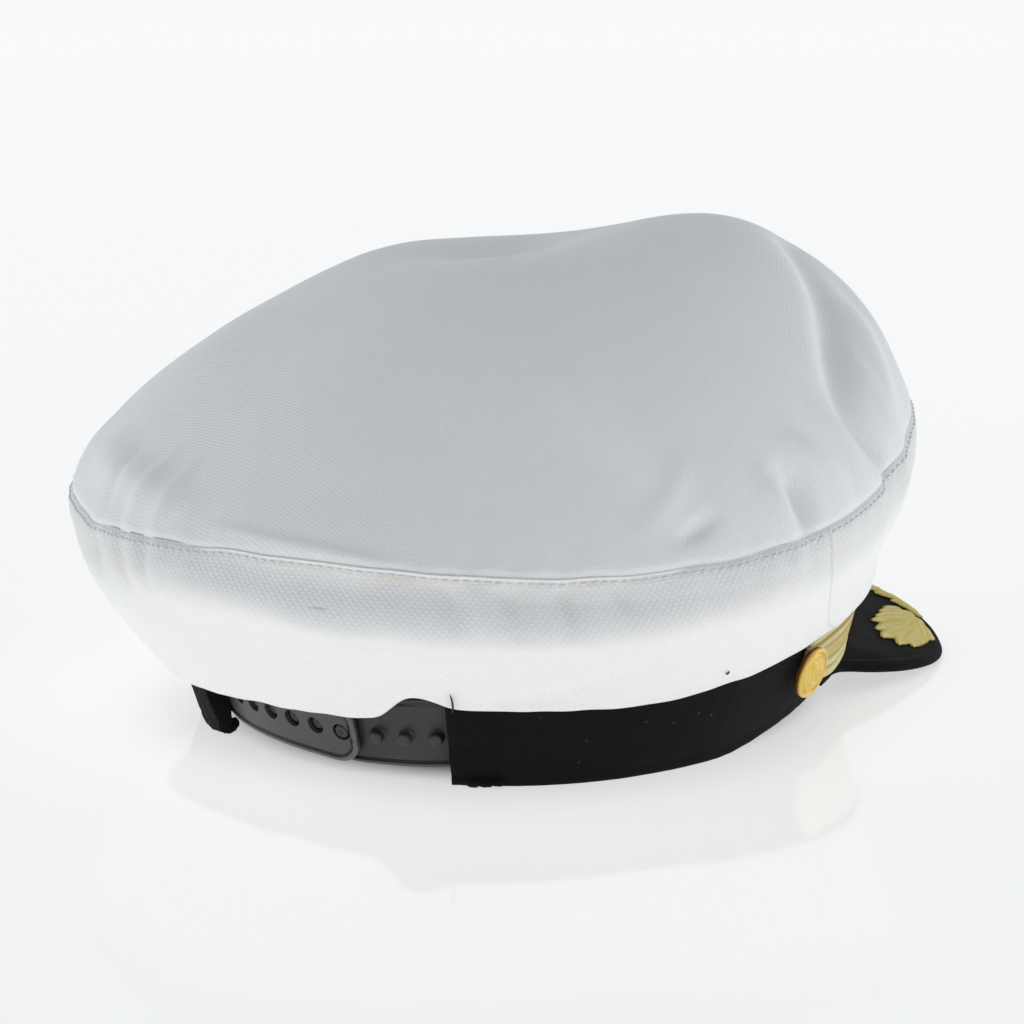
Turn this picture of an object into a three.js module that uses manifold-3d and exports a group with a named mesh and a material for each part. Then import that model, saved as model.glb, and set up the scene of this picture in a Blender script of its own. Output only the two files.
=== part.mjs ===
// A sailor hat: a white canvas crown over a black band, with a black cloth peak and a plastic snap strap.
// Millimetres, +Z up, standing on the table z = 0 as it rests by itself. The peak points to -Y, the snap
// strap is at +Y and the wearer's right side is at -X. It is built round the middle axis of the head opening,
// and then moved so that the origin lies under the middle of the whole hat.
// A turn is an angle round the hat in degrees, from the back (+Y) towards the wearer's right side (-X).
import * as THREE from 'three';
import { mergeVertices } from 'three/addons/utils/BufferGeometryUtils.js';
import Module from 'manifold-3d';

const wasm = await Module();
wasm.setup();

// Driving dimensions
const GAP = 0.35; // between pieces that are sewn or pressed together

const CLOTH = 1.5; // the canvas wall of the crown
const HEM_CLOTH = 2.6; // the doubled hem of the crown
const HEM_WIDTH = 0.25; // the share of the side panel over which the wall thickens to the hem
const HEM_EASE = 0.4; // how loosely the hem lies round the band
const SUMMIT_UP = 134; // the crown's height over the table, above the middle of the head opening
const SUMMIT_LEAN = 0.12; // how much higher the crown gets for each millimetre towards the peak
const DOME_EDGE = 0.72; // below 1 the top panel drops more steeply to its seam
const SHOULDER = 0.35; // the share of the side panel's depth over which it bulges out under the seam
const WAIST = 0.3; // the share over which it draws in above the hem
const WAIST_REACH = 0.4; // how far out it still is there, from 0 at the hem to 1 at the seam
const PANEL_SEAM_TURN = 80; // where the side panel's upright seams start under the top panel
const PANEL_SEAM_SWEEP = 18; // how far they curve towards the peak at the hem

const BAND_HALF_WIDTH = 86.6; // outside, at its lower edge
const BAND_HALF_LENGTH = 96;
const BAND_SQUARENESS = 2.22; // 2 is an ellipse
const BAND_HEIGHT = 29;
const BAND_FLARE = 18.5; // degrees that its wall leans outwards
const BAND_TOP_ROOM = 9; // the height over its hidden top edge up to which the crown stays clear of it
const BAND_CLOTH = 2.4;
const BAND_END_CLOTH = 3.4; // where its cloth is folded back at the opening
const BAND_END_LENGTH = 11;
const BAND_OPENING = 24.5; // half of the opening at the back, in degrees of turn

const PEAK_CLOTH = 2.6;
const PEAK_GAP = 0.6; // between it and the band's face
const PEAK_LIFT = 0.6; // its underside over the band's lower edge, where it is sewn on
const PEAK_SWELL = 1.6; // how far it arches between the band and its rim
const PEAK_SWELL_WIDTH = 20; // it arches less where it is narrower than this

const BRAID_WIDTH = 14.5;
const BRAID_THICKNESS = 1.4;
const BRAID_UP = 9; // its lower edge over the band's
const BRAID_BEVEL = 0.5;
const BRAID_END = 1.3; // how far its end passes behind the button, in degrees of turn
const BRAID_END_NARROWING = 7; // how far its lower edge rises there
const BRAID_END_LENGTH = 7; // in degrees of turn

const BUTTON_UP = 15.8; // its middle over the band's lower edge
const BUTTON_RADIUS = 7.5;
const BUTTON_TURN = 92;
const BUTTON_AIM = 96; // the turn that its face looks towards
const BUTTON_DROOP = -0.15; // its face looks down by this slope
const BUTTON_CLEARANCE = 1.2; // keeps its tilted back off the braid

const STRAP_HALF_WIDTH = 10;
const STRAP_THICKNESS = 1.4;
const STRAP_RIM = 0.5; // how proud the strap's edges stand
const STRAP_RIM_WIDTH = 2.2;
const STRAP_RIM_SLOPE = 0.4; // the width of the step from a rim down to the strap's face
const STRAP_TIP = 8; // the length of each strap's rounded tip
const STRAP_SEWN = 5; // how far each strap runs on behind the band's end, in degrees of turn
const STRAP_BOW = 4.1; // how far the strap bows out between the band's ends
const STRAP_SET_BACK = BAND_END_CLOTH + STRAP_RIM + 0.5; // the hole strap's face behind the band's outer face
const PEG_SET_BACK = STRAP_SET_BACK + STRAP_THICKNESS + STRAP_RIM + 1; // the peg strap's, under the other
const HOLE_STRAP_TIP = 9; // the turn of the hole strap's tip, on the wearer's right of the middle
const PEG_STRAP_TIP = -20;
const PEG_PITCH = 5; // degrees of turn
const PEG_RADIUS = 1.9;
const PEG_LENGTH = 2.6;
const PEG_TAPER = 0.9; // its head's radius as a share of its foot's
const HOLE_RADIUS = 2.5;
const FIRST_PEG = 22.2; // the turn of the peg beside the band's end
const PEG_COUNT = 8;
const FREE_PEGS = 3; // the pegs left free beside the hole strap's tip; the next ones sit in holes
const HOLE_COUNT = 6;

const LEAF_THICKNESS = 0.9;
const LEAF_LIFT = 0.55; // its back over the peak's cloth
const LEAF_EDGE = 0.3; // its thickness at the edge

// The crown, one row for each section round the hat. The seam joins the top panel to the side panel. The hem
// is the lowest edge of the white cloth. Squareness shapes the top panel: 2 is a round dome, 4 a boxy one.
// Bulge is how far the side panel swells past the seam, and belly how full it hangs above the hem.
const CROWN_SECTIONS = [
  { turn: 0, seamReach: 128, seamUp: 66, hemUp: 18, squareness: 2.2, bulge: 5, belly: -1.5 },
  { turn: 14, seamReach: 126.8, seamUp: 66, hemUp: 19.2, squareness: 2.2, bulge: 5, belly: -1.5 },
  { turn: 20, seamReach: 126, seamUp: 65.5, hemUp: 26.6, squareness: 2.25, bulge: 5, belly: -1.5 },
  { turn: 26, seamReach: 125, seamUp: 64.5, hemUp: 23.4, squareness: 2.3, bulge: 5, belly: -1.5 },
  { turn: 34, seamReach: 123.2, seamUp: 63.3, hemUp: 22.8, squareness: 2.3, bulge: 5, belly: -1.5 },
  { turn: 60, seamReach: 118, seamUp: 63.5, hemUp: 23, squareness: 2.4, bulge: 5, belly: -1.5 },
  { turn: 90, seamReach: 115, seamUp: 72, hemUp: 28.5, squareness: 3, bulge: 5, belly: -2 },
  { turn: 120, seamReach: 114, seamUp: 91, hemUp: 33, squareness: 3, bulge: 4, belly: -4 },
  { turn: 150, seamReach: 108, seamUp: 99, hemUp: 36, squareness: 3.4, bulge: 3, belly: -3 },
  { turn: 180, seamReach: 100, seamUp: 100, hemUp: 37, squareness: 3.6, bulge: 2, belly: -2 },
  { turn: 210, seamReach: 106, seamUp: 96, hemUp: 36, squareness: 3.4, bulge: 2, belly: -2 },
  { turn: 240, seamReach: 119, seamUp: 88, hemUp: 33, squareness: 3, bulge: 3, belly: -1.5 },
  { turn: 270, seamReach: 129, seamUp: 78, hemUp: 28, squareness: 2.3, bulge: 6, belly: 2 },
  { turn: 300, seamReach: 132, seamUp: 69, hemUp: 21, squareness: 2, bulge: 6.5, belly: 9 },
  { turn: 330, seamReach: 131, seamUp: 64, hemUp: 17, squareness: 2, bulge: 6.5, belly: 6 },
];

// Humps and hollows of the top panel, round spots in plan
const TOP_SWELLS = [
  { turn: 140, reach: 70, spread: 36, rise: 7.5 },
  { turn: 224, reach: 36, spread: 30, rise: -9.5 },
  { turn: 254, reach: 64, spread: 24, rise: 3.5 },
  { turn: 308, reach: 98, spread: 26, rise: 2.5 },
  { turn: 56, reach: 112, spread: 8, rise: -2.5 },
];

// Creases and folds of the white cloth, each along a curve bent towards its middle point. A place is 0 at the
// middle of the top panel, 1 at the seam and 2 at the hem. A negative rise is a hollow.
const FOLDS = [
  { from: [134, 0.72], by: [92, 0.84], to: [99, 0.995], width: 6, rise: -4.5 }, // the front crease
  { from: [120, 0.86], by: [108, 0.9], to: [104, 0.985], width: 6, rise: 2 }, // the roll in front of it
  { from: [74, 0.93], by: [75, 0.96], to: [76, 0.995], width: 4, rise: -2 }, // the pucker behind it
  { from: [44, 0.6], by: [46, 0.7], to: [53, 0.84], width: 7, rise: 1.2 }, // the soft ridge
  { from: [350, 1.12], by: [0, 1.1], to: [16, 1.38], width: 6, rise: -2.2 }, // the hollow under the seam
  { from: [348, 1.3], by: [2, 1.34], to: [14, 1.56], width: 5, rise: 1.6 }, // the roll below it
  { from: [22, 1.62], by: [48, 1.5], to: [72, 1.42], width: 8, rise: 1.8 }, // the bulge over the band
  { from: [32, 1.92], by: [44, 1.8], to: [60, 1.5], width: 5, rise: -1.8 }, // the hollow below it
];

// The band's lower edge over the table, which lifts towards the peak
const BAND_EDGE = [
  { turn: 0, up: 0 },
  { turn: 72, up: 0 },
  { turn: 90, up: 3.4 },
  { turn: 110, up: 7.4 },
  { turn: 140, up: 10.5 },
  { turn: 180, up: 13 },
];

// The underside of the peak's rim on the wearer's right side, which the left side mirrors. The first row is
// the peak's corner, and the rim touches the table in two places.
const PEAK_RIM = [
  { turn: 117, reach: 92, up: 9.4 },
  { turn: 121, reach: 97, up: 7.4 },
  { turn: 126, reach: 107, up: 5 },
  { turn: 132, reach: 119.5, up: 2.4 },
  { turn: 139, reach: 133, up: 0.4 },
  { turn: 145, reach: 141.5, up: 0 },
  { turn: 152, reach: 146.5, up: 3 },
  { turn: 160, reach: 148, up: 7 },
  { turn: 170, reach: 149, up: 11 },
  { turn: 180, reach: 149, up: 13 },
];

// The middle line of each strap over the table
const STRAP_LINES = {
  holes: [{ turn: -30, up: 18.2 }, { turn: -15, up: 16 }, { turn: 0, up: 13.5 }, { turn: 9, up: 11.9 }],
  pegs: [{ turn: -15, up: 16 }, { turn: 0, up: 13.5 }, { turn: 9, up: 12.1 }, { turn: 30, up: 14.2 }],
};

// The leaves of the two sprays on the wearer's right side of the peak, in plan, from stalk to tip. The first
// row of the front spray is its stem.
const SIDE_LEAVES = [
  { x: -63, y: -122.5, tipX: -60.5, tipY: -112.5, width: 6 },
  { x: -65.5, y: -120.5, tipX: -63, tipY: -105.5, width: 6.5 },
  { x: -68, y: -117.5, tipX: -65, tipY: -99, width: 7 },
  { x: -70, y: -114.5, tipX: -70.5, tipY: -91.5, width: 8 },
  { x: -72, y: -111.5, tipX: -76, tipY: -85, width: 8 },
  { x: -73, y: -111.5, tipX: -81, tipY: -86, width: 7 },
  { x: -73, y: -113.5, tipX: -82.5, tipY: -93, width: 7 },
  { x: -72, y: -116.5, tipX: -81.5, tipY: -100.5, width: 6.5 },
  { x: -70, y: -119, tipX: -80, tipY: -106.5, width: 6.5 },
];
const FRONT_LEAVES = [
  { x: -59, y: -134, tipX: -30, tipY: -143.5, width: 4 },
  { x: -57.5, y: -134.5, tipX: -53, tipY: -126, width: 6.5 },
  { x: -52, y: -137.5, tipX: -46, tipY: -127, width: 7 },
  { x: -46, y: -140, tipX: -39, tipY: -129, width: 7 },
  { x: -39.5, y: -142, tipX: -31, tipY: -131, width: 7 },
  { x: -33, y: -143.5, tipX: -23, tipY: -134, width: 7 },
];

// The button's section from the middle of its back to the middle of its face, each row a radius and a height
const BUTTON_SECTION = [
  { radius: 0, height: 0 },
  { radius: 6.3, height: 0 },
  { radius: 7.3, height: 0.7 },
  { radius: BUTTON_RADIUS, height: 1.5 },
  { radius: 7.1, height: 2.2 },
  { radius: 6.2, height: 2.6 },
  { radius: 4, height: 3.2 },
  { radius: 2, height: 3.5 },
  { radius: 0, height: 3.6 },
];

// How finely each shape is divided
const TOP_LOOPS = 80;
const TOP_RINGS = 9;
const SIDE_LOOPS = { back: 58, front: 40 };
const SIDE_RINGS = 7;
const BAND_LOOPS = 72;
const PEAK_LOOPS = 56;
const PEAK_ROWS = 4;
const BRAID_LOOPS = 44;
const BUTTON_SIDES = 20;
const STRAP_LOOPS = 16;
const STRAP_TIP_LOOPS = 4;
const POST_SIDES = 12;
const LEAF_LOOPS = 5;

const WHITE_CANVAS = { color: 0xe8eaec, roughness: 0.9, metalness: 0 };
const BLACK_CLOTH = { color: 0x1b1b1c, roughness: 0.95, metalness: 0 };
const GREY_PLASTIC = { color: 0x34363a, roughness: 0.35, metalness: 0 };
const GOLD_THREAD = { color: 0xc8ac5c, roughness: 0.5, metalness: 0.4 };
const GILT_METAL = { color: 0xd8b45a, roughness: 0.3, metalness: 0.9 };

const radians = THREE.MathUtils.degToRad;
const lerp = THREE.MathUtils.lerp;
const clamp = THREE.MathUtils.clamp;
const wrap = THREE.MathUtils.euclideanModulo;

// Evenly spaced values from low to high, both kept
const steps = (low, high, count) => Array.from({ length: count + 1 }, (_, i) => lerp(low, high, i / count));

// A smooth value between the rows of a table by turn. With a period the last row leads on to the first.
function tableValue(rows, column, turn, period = 0) {
  const count = rows.length;
  const first = rows[0].turn;
  const place = period ? first + wrap(turn - first, period) : turn;
  const rowAt = (k) => {
    const held = period ? wrap(k, count) : clamp(k, 0, count - 1);
    const shift = period ? Math.floor(k / count) * period : k - held;
    return { at: rows[held].turn + shift, value: rows[held][column] };
  };
  let k = 0;
  while (k < count - (period ? 1 : 2) && rows[k + 1].turn <= place) k += 1;
  const [before, low, high, after] = [rowAt(k - 1), rowAt(k), rowAt(k + 1), rowAt(k + 2)];
  const span = high.at - low.at;
  const slopeLow = (span * (high.value - before.value)) / (high.at - before.at);
  const slopeHigh = (span * (after.value - low.value)) / (after.at - low.at);
  const f = clamp((place - low.at) / span, 0, 1);
  const f2 = f * f;
  const f3 = f2 * f;
  return (
    (2 * f3 - 3 * f2 + 1) * low.value + (f3 - 2 * f2 + f) * slopeLow
    + (3 * f2 - 2 * f3) * high.value + (f3 - f2) * slopeHigh
  );
}

const crownValue = (column, turn) => tableValue(CROWN_SECTIONS, column, turn, 360);

// The turn's mirror image on the wearer's right side
const mirroredTurn = (turn) => Math.min(wrap(turn, 360), 360 - wrap(turn, 360));

const bandEdgeUp = (turn) => Math.max(0, tableValue(BAND_EDGE, 'up', mirroredTurn(turn)));

// A point at a turn, a reach from the middle axis and a height
function at(turn, reach, up) {
  const angle = radians(turn);
  return new THREE.Vector3(-Math.sin(angle) * reach, Math.cos(angle) * reach, up);
}

// Reach of the band's outer face at a height over its lower edge
function bandReach(turn, height) {
  const angle = radians(turn);
  const across = Math.abs(Math.sin(angle)) / BAND_HALF_WIDTH;
  const along = Math.abs(Math.cos(angle)) / BAND_HALF_LENGTH;
  const sum = across ** BAND_SQUARENESS + along ** BAND_SQUARENESS;
  return sum ** (-1 / BAND_SQUARENESS) + height * Math.tan(radians(BAND_FLARE));
}

// How far the humps and hollows lift the top panel at a point
function topSwell(point) {
  let rise = 0;
  for (const row of TOP_SWELLS) {
    const away = at(row.turn, row.reach, 0).distanceTo(point) / row.spread;
    rise += row.rise * Math.exp(-away * away);
  }
  return rise;
}

// The crown's outer face: from 0 at the middle of the top panel to 1 at the seam and 2 at the hem
function crownPoint(turn, place) {
  const seamReach = crownValue('seamReach', turn);
  const seamUp = crownValue('seamUp', turn);
  if (place <= 1) {
    const reach = seamReach * place;
    const summit = SUMMIT_UP + SUMMIT_LEAN * reach * -Math.cos(radians(turn));
    const drop = 1 - (1 - place ** crownValue('squareness', turn)) ** DOME_EDGE;
    const swell = topSwell(at(turn, reach, 0)) * (1 - place ** 6);
    return at(turn, reach, lerp(summit, seamUp, drop) + swell);
  }
  const hemUp = crownValue('hemUp', turn);
  const edgeUp = bandEdgeUp(turn);
  const overBand = (up) => bandReach(turn, up - edgeUp) + GAP + HEM_CLOTH + HEM_EASE;
  const hemReach = overBand(hemUp);
  const waistReach = lerp(hemReach, seamReach, WAIST_REACH) + crownValue('belly', turn);
  const depth = seamUp - hemUp;
  const handles = [
    new THREE.Vector2(seamReach, seamUp),
    new THREE.Vector2(seamReach + crownValue('bulge', turn), seamUp - depth * SHOULDER),
    new THREE.Vector2(waistReach, hemUp + depth * WAIST),
    new THREE.Vector2(hemReach, hemUp),
  ];
  const section = new THREE.CubicBezierCurve(...handles).getPoint(place - 1);
  const bandTop = edgeUp + BAND_HEIGHT;
  const least = section.y < bandTop + BAND_TOP_ROOM ? overBand(Math.min(section.y, bandTop)) : 0;
  return at(turn, Math.max(section.x, least), section.y);
}

// Points along each fold, on the smooth crown
const foldRoutes = FOLDS.map(({ from, by, to }) => {
  const route = new THREE.QuadraticBezierCurve(...[from, by, to].map(([turn, place]) => {
    const backTurn = turn > 270 ? turn - 360 : turn;
    return new THREE.Vector2(backTurn, place);
  }));
  return route.getPoints(16).map((point) => crownPoint(point.x, point.y));
});

// How far the folds lift the crown's face at a point of the smooth crown. A fold fades out towards its ends.
function foldRise(point, place) {
  let rise = 0;
  foldRoutes.forEach((route, i) => {
    if (Math.sign(FOLDS[i].to[1] - 1) !== Math.sign(place - 1)) return;
    const away = route.map((routePoint) => routePoint.distanceTo(point));
    const nearest = away.indexOf(Math.min(...away));
    const taper = Math.sin(Math.PI * lerp(0.14, 0.86, nearest / (route.length - 1)));
    rise += FOLDS[i].rise * taper * Math.exp(-((away[nearest] / FOLDS[i].width) ** 2));
  });
  return rise;
}

// The outward direction of the smooth crown's face
function crownNormal(turn, place) {
  const step = 0.02;
  const low = clamp(place - step, 0.001, 2);
  const high = clamp(place + step, 0.001, 2);
  const down = crownPoint(turn, high).sub(crownPoint(turn, low));
  const middle = Math.max(place, 0.05);
  const round = crownPoint(turn + 1, middle).sub(crownPoint(turn - 1, middle));
  return down.cross(round).normalize();
}

// One closed body through loops of points, each loop its front points and then its back points in reverse.
// The loops join round the hat where it wraps, and otherwise the first and last loops are closed off.
function loft(loops, wraps = false) {
  const size = loops[0].length;
  const index = [];
  const quad = (a, b, c, d) => index.push(a, b, c, a, c, d);
  const spans = wraps ? loops.length : loops.length - 1;
  for (let i = 0; i < spans; i += 1) {
    const here = i * size;
    const next = ((i + 1) % loops.length) * size;
    for (let k = 0; k < size; k += 1) {
      const l = (k + 1) % size;
      quad(here + k, here + l, next + l, next + k);
    }
  }
  if (!wraps) {
    const last = (loops.length - 1) * size;
    for (let k = 0; k < size / 2 - 1; k += 1) {
      quad(k, size - 1 - k, size - 2 - k, k + 1);
      quad(last + k, last + k + 1, last + size - 2 - k, last + size - 1 - k);
    }
  }
  const geometry = new THREE.BufferGeometry();
  const positions = loops.flat().flatMap((p) => [p.x, p.y, p.z]);
  geometry.setAttribute('position', new THREE.Float32BufferAttribute(positions, 3));
  geometry.setIndex(index);
  return closedBody(geometry);
}

// Merges a geometry's shared corners, drops its empty faces and turns its faces outwards
function closedBody(geometry) {
  geometry.deleteAttribute('normal');
  geometry.deleteAttribute('uv');
  const merged = mergeVertices(geometry, 1e-4);
  const corners = merged.getIndex().array;
  const position = merged.getAttribute('position');
  const corner = (i) => new THREE.Vector3().fromBufferAttribute(position, i);
  const kept = [];
  let volume = 0;
  for (let i = 0; i < corners.length; i += 3) {
    const [a, b, c] = corners.slice(i, i + 3);
    if (a !== b && b !== c && c !== a) {
      kept.push([a, b, c]);
      volume += corner(a).dot(corner(b).cross(corner(c)));
    }
  }
  merged.setIndex(kept.flatMap(([a, b, c]) => (volume > 0 ? [a, b, c] : [a, c, b])));
  return merged;
}

function toManifold(geometry) {
  const vertProperties = new Float32Array(geometry.getAttribute('position').array);
  const triVerts = new Uint32Array(geometry.getIndex().array);
  return new wasm.Manifold(new wasm.Mesh({ numProp: 3, vertProperties, triVerts }));
}

function fromManifold(solid) {
  const mesh = solid.getMesh();
  const geometry = new THREE.BufferGeometry();
  geometry.setAttribute('position', new THREE.Float32BufferAttribute(mesh.vertProperties, 3));
  geometry.setIndex([...mesh.triVerts]);
  return geometry;
}

function piece(name, geometry, look) {
  const mesh = new THREE.Mesh(geometry, new THREE.MeshStandardMaterial(look));
  mesh.name = name;
  return mesh;
}

// A loop round the crown's wall, along one section from one place to another
function crownLoop(places, turnAt) {
  const outer = [];
  const inner = [];
  for (const place of places) {
    const turn = turnAt(place);
    const atSeam = Math.abs(place - 1) < 1e-6;
    const atHem = Math.abs(place - 2) < 1e-6;
    const normal = crownNormal(turn, place);
    const hemShare = clamp((place - 2 + HEM_WIDTH) / HEM_WIDTH, 0, 1);
    const point = crownPoint(turn, place);
    if (!atSeam && !atHem) point.addScaledVector(normal, foldRise(point, place));
    if (atSeam) point.z += (places[0] < 1 ? GAP : -GAP) / 2;
    outer.push(point);
    inner.push(point.clone().addScaledVector(normal, -lerp(CLOTH, HEM_CLOTH, hemShare)));
  }
  return [...outer, ...inner.reverse()];
}

// Its rings lie closer together towards the seam, where the top panel curves most
function crownTop() {
  const places = steps(0, 1, TOP_RINGS).map((share) => 1 - (1 - share) ** 1.7);
  const loops = steps(0, 360, TOP_LOOPS).slice(0, -1).map((turn) => crownLoop(places, () => turn));
  return loft(loops, true);
}

// The side panel's upright seam drops straight from the top panel and then sweeps towards the peak
const panelSeamTurn = (place) => PANEL_SEAM_TURN + PANEL_SEAM_SWEEP * (place - 1) ** 2;

function crownSide(back) {
  const places = steps(1, 2, SIDE_RINGS);
  const seamGap = THREE.MathUtils.radToDeg(GAP / 2 / BAND_HALF_LENGTH);
  const turnAt = (share, place) => {
    const half = back ? panelSeamTurn(place) : 180 - panelSeamTurn(place);
    return (back ? 0 : 180) + share * (half - seamGap);
  };
  const shares = steps(-1, 1, back ? SIDE_LOOPS.back : SIDE_LOOPS.front);
  return loft(shares.map((share) => crownLoop(places, (place) => turnAt(share, place))));
}

// The cloth is folded back at both ends, so the first and last loops are thicker
function band() {
  const endTurn = THREE.MathUtils.radToDeg(BAND_END_LENGTH / BAND_HALF_LENGTH);
  const first = BAND_OPENING;
  const last = 360 - BAND_OPENING;
  const step = 0.5;
  const between = steps(first + endTurn + step, last - endTurn - step, BAND_LOOPS);
  const turns = [first, first + endTurn, ...between, last - endTurn, last];
  const loops = turns.map((turn) => {
    const folded = Math.min(turn - first, last - turn) <= endTurn + 1e-6;
    const cloth = folded ? BAND_END_CLOTH : BAND_CLOTH;
    const edge = bandEdgeUp(turn);
    const face = (height, inset) => at(turn, bandReach(turn, height) - inset, edge + height);
    return [face(0, 0), face(BAND_HEIGHT, 0), face(BAND_HEIGHT, cloth), face(0, cloth)];
  });
  return loft(loops);
}

// The peak's outer face, from 0 at the band to 1 at the rim
function peakPoint(turn, share, sunk = 0) {
  const side = mirroredTurn(turn);
  const sewnUp = PEAK_LIFT + PEAK_CLOTH;
  const inner = bandReach(turn, sewnUp) + PEAK_GAP;
  const rim = tableValue(PEAK_RIM, 'reach', side);
  const reach = lerp(inner, rim, share);
  const rimUp = Math.max(0, tableValue(PEAK_RIM, 'up', side)) + PEAK_CLOTH;
  const swell = PEAK_SWELL * clamp((rim - inner) / PEAK_SWELL_WIDTH, 0, 1) * Math.sin(Math.PI * share);
  return at(turn, reach, lerp(bandEdgeUp(turn) + sewnUp, rimUp, share) + swell - sunk);
}

function peak() {
  const shares = steps(0, 1, PEAK_ROWS);
  const tip = PEAK_RIM[0].turn;
  const loops = steps(tip, 360 - tip, PEAK_LOOPS).map((turn) => {
    const top = shares.map((share) => peakPoint(turn, share));
    const under = shares.map((share) => peakPoint(turn, share, PEAK_CLOTH)).reverse();
    return [...top, ...under];
  });
  return loft(loops);
}

function goldBraid() {
  const start = BUTTON_TURN - BRAID_END;
  const proud = GAP + BRAID_THICKNESS;
  const top = BRAID_UP + BRAID_WIDTH;
  const loops = steps(start, 360 - start, BRAID_LOOPS).map((turn) => {
    const face = (height, out) => at(turn, bandReach(turn, height) + out, bandEdgeUp(turn) + height);
    const nearEnd = clamp(1 - (mirroredTurn(turn) - start) / BRAID_END_LENGTH, 0, 1);
    const low = BRAID_UP + BRAID_END_NARROWING * nearEnd ** 2;
    return [face(low + BRAID_BEVEL, proud), face(top - BRAID_BEVEL, proud), face(top, GAP), face(low, GAP)];
  });
  return loft(loops);
}

function button(side) {
  const section = BUTTON_SECTION.map(({ radius, height }) => new THREE.Vector2(radius, height));
  const geometry = closedBody(new THREE.LatheGeometry(section, BUTTON_SIDES));
  const seat = bandReach(BUTTON_TURN, BUTTON_UP) + BRAID_THICKNESS + 2 * GAP + BUTTON_CLEARANCE;
  const middle = at(side * BUTTON_TURN, seat, bandEdgeUp(BUTTON_TURN) + BUTTON_UP);
  const outward = at(side * BUTTON_AIM, 1, BUTTON_DROOP).normalize();
  geometry.applyQuaternion(new THREE.Quaternion().setFromUnitVectors(new THREE.Vector3(0, 1, 0), outward));
  geometry.translate(middle.x, middle.y, middle.z);
  return geometry;
}

// A point of a strap, by its turn, its distance across from the strap's middle line and how proud it stands.
// The peg strap drops back where it runs under the hole strap.
function strapPoint(kind, turn, across, proud) {
  const up = tableValue(STRAP_LINES[kind], 'up', turn) + across * Math.cos(radians(BAND_FLARE));
  const tucked = kind === 'pegs' ? THREE.MathUtils.smoothstep(-turn, -BAND_OPENING, -HOLE_STRAP_TIP - 1) : 0;
  const bow = STRAP_BOW * Math.max(0, 1 - (turn / BAND_OPENING) ** 2);
  const setBack = lerp(STRAP_SET_BACK, PEG_SET_BACK, tucked) - bow;
  return at(turn, bandReach(turn, up) - setBack + proud, up);
}

// A strap's plate with a raised rim along both edges, narrowed to a round end at its tip
function strapPlate(kind, tip, sewn) {
  const direction = Math.sign(sewn - tip);
  const perDegree = radians(BAND_HALF_LENGTH);
  const tipTurns = steps(0, 1, STRAP_TIP_LOOPS).map(
    (share) => tip + direction * (share ** 1.6) * (STRAP_TIP / perDegree),
  );
  const turns = [...tipTurns, ...steps(tipTurns.at(-1), sewn, STRAP_LOOPS).slice(1)];
  const loops = turns.map((turn) => {
    const fromTip = clamp((Math.abs(turn - tip) * perDegree) / STRAP_TIP, 0, 1);
    const half = STRAP_HALF_WIDTH * Math.sqrt(1 - 0.8 * (1 - fromTip) ** 2.4);
    const rim = half - STRAP_RIM_WIDTH;
    const floor = rim - STRAP_RIM_SLOPE;
    const across = [-half, -rim, -floor, floor, rim, half];
    const front = across.map((place) => strapPoint(kind, turn, place, Math.abs(place) < rim ? 0 : STRAP_RIM));
    const back = across.map((place) => strapPoint(kind, turn, place, -STRAP_THICKNESS)).reverse();
    return [...front, ...back];
  });
  return loft(loops);
}

// A round post square to a strap's face, from one depth to another
function strapPost(kind, turn, radius, low, high) {
  const foot = strapPoint(kind, turn, 0, low);
  const head = strapPoint(kind, turn, 0, high);
  const across = strapPoint(kind, turn, 1, low).sub(strapPoint(kind, turn, -1, low)).normalize();
  const outward = head.sub(foot).addScaledVector(across, -head.dot(across)).normalize();
  const post = new THREE.CylinderGeometry(radius * PEG_TAPER, radius, high - low, POST_SIDES);
  post.applyQuaternion(new THREE.Quaternion().setFromUnitVectors(new THREE.Vector3(0, 1, 0), outward));
  foot.addScaledVector(outward, (high - low) / 2);
  post.translate(foot.x, foot.y, foot.z);
  return closedBody(post);
}

function pegStrap() {
  let solid = toManifold(strapPlate('pegs', PEG_STRAP_TIP, BAND_OPENING + STRAP_SEWN));
  for (let i = 0; i < PEG_COUNT; i += 1) {
    const turn = FIRST_PEG - i * PEG_PITCH;
    solid = solid.add(toManifold(strapPost('pegs', turn, PEG_RADIUS, -STRAP_THICKNESS / 2, PEG_LENGTH)));
  }
  return fromManifold(solid);
}

function holeStrap() {
  const through = STRAP_THICKNESS + 1;
  let solid = toManifold(strapPlate('holes', HOLE_STRAP_TIP, -BAND_OPENING - STRAP_SEWN));
  for (let i = 0; i < HOLE_COUNT; i += 1) {
    const turn = FIRST_PEG - (FREE_PEGS + i) * PEG_PITCH;
    solid = solid.subtract(toManifold(strapPost('holes', turn, HOLE_RADIUS, -through, through)));
  }
  return fromManifold(solid);
}

// A point over the peak's outer face, by its place in plan
function overPeak(x, y, proud) {
  const turn = THREE.MathUtils.radToDeg(Math.atan2(-x, y));
  const inner = peakPoint(turn, 0).setZ(0).length();
  const rim = peakPoint(turn, 1).setZ(0).length();
  const point = peakPoint(turn, (Math.hypot(x, y) - inner) / (rim - inner));
  point.z += proud;
  return point;
}

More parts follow.
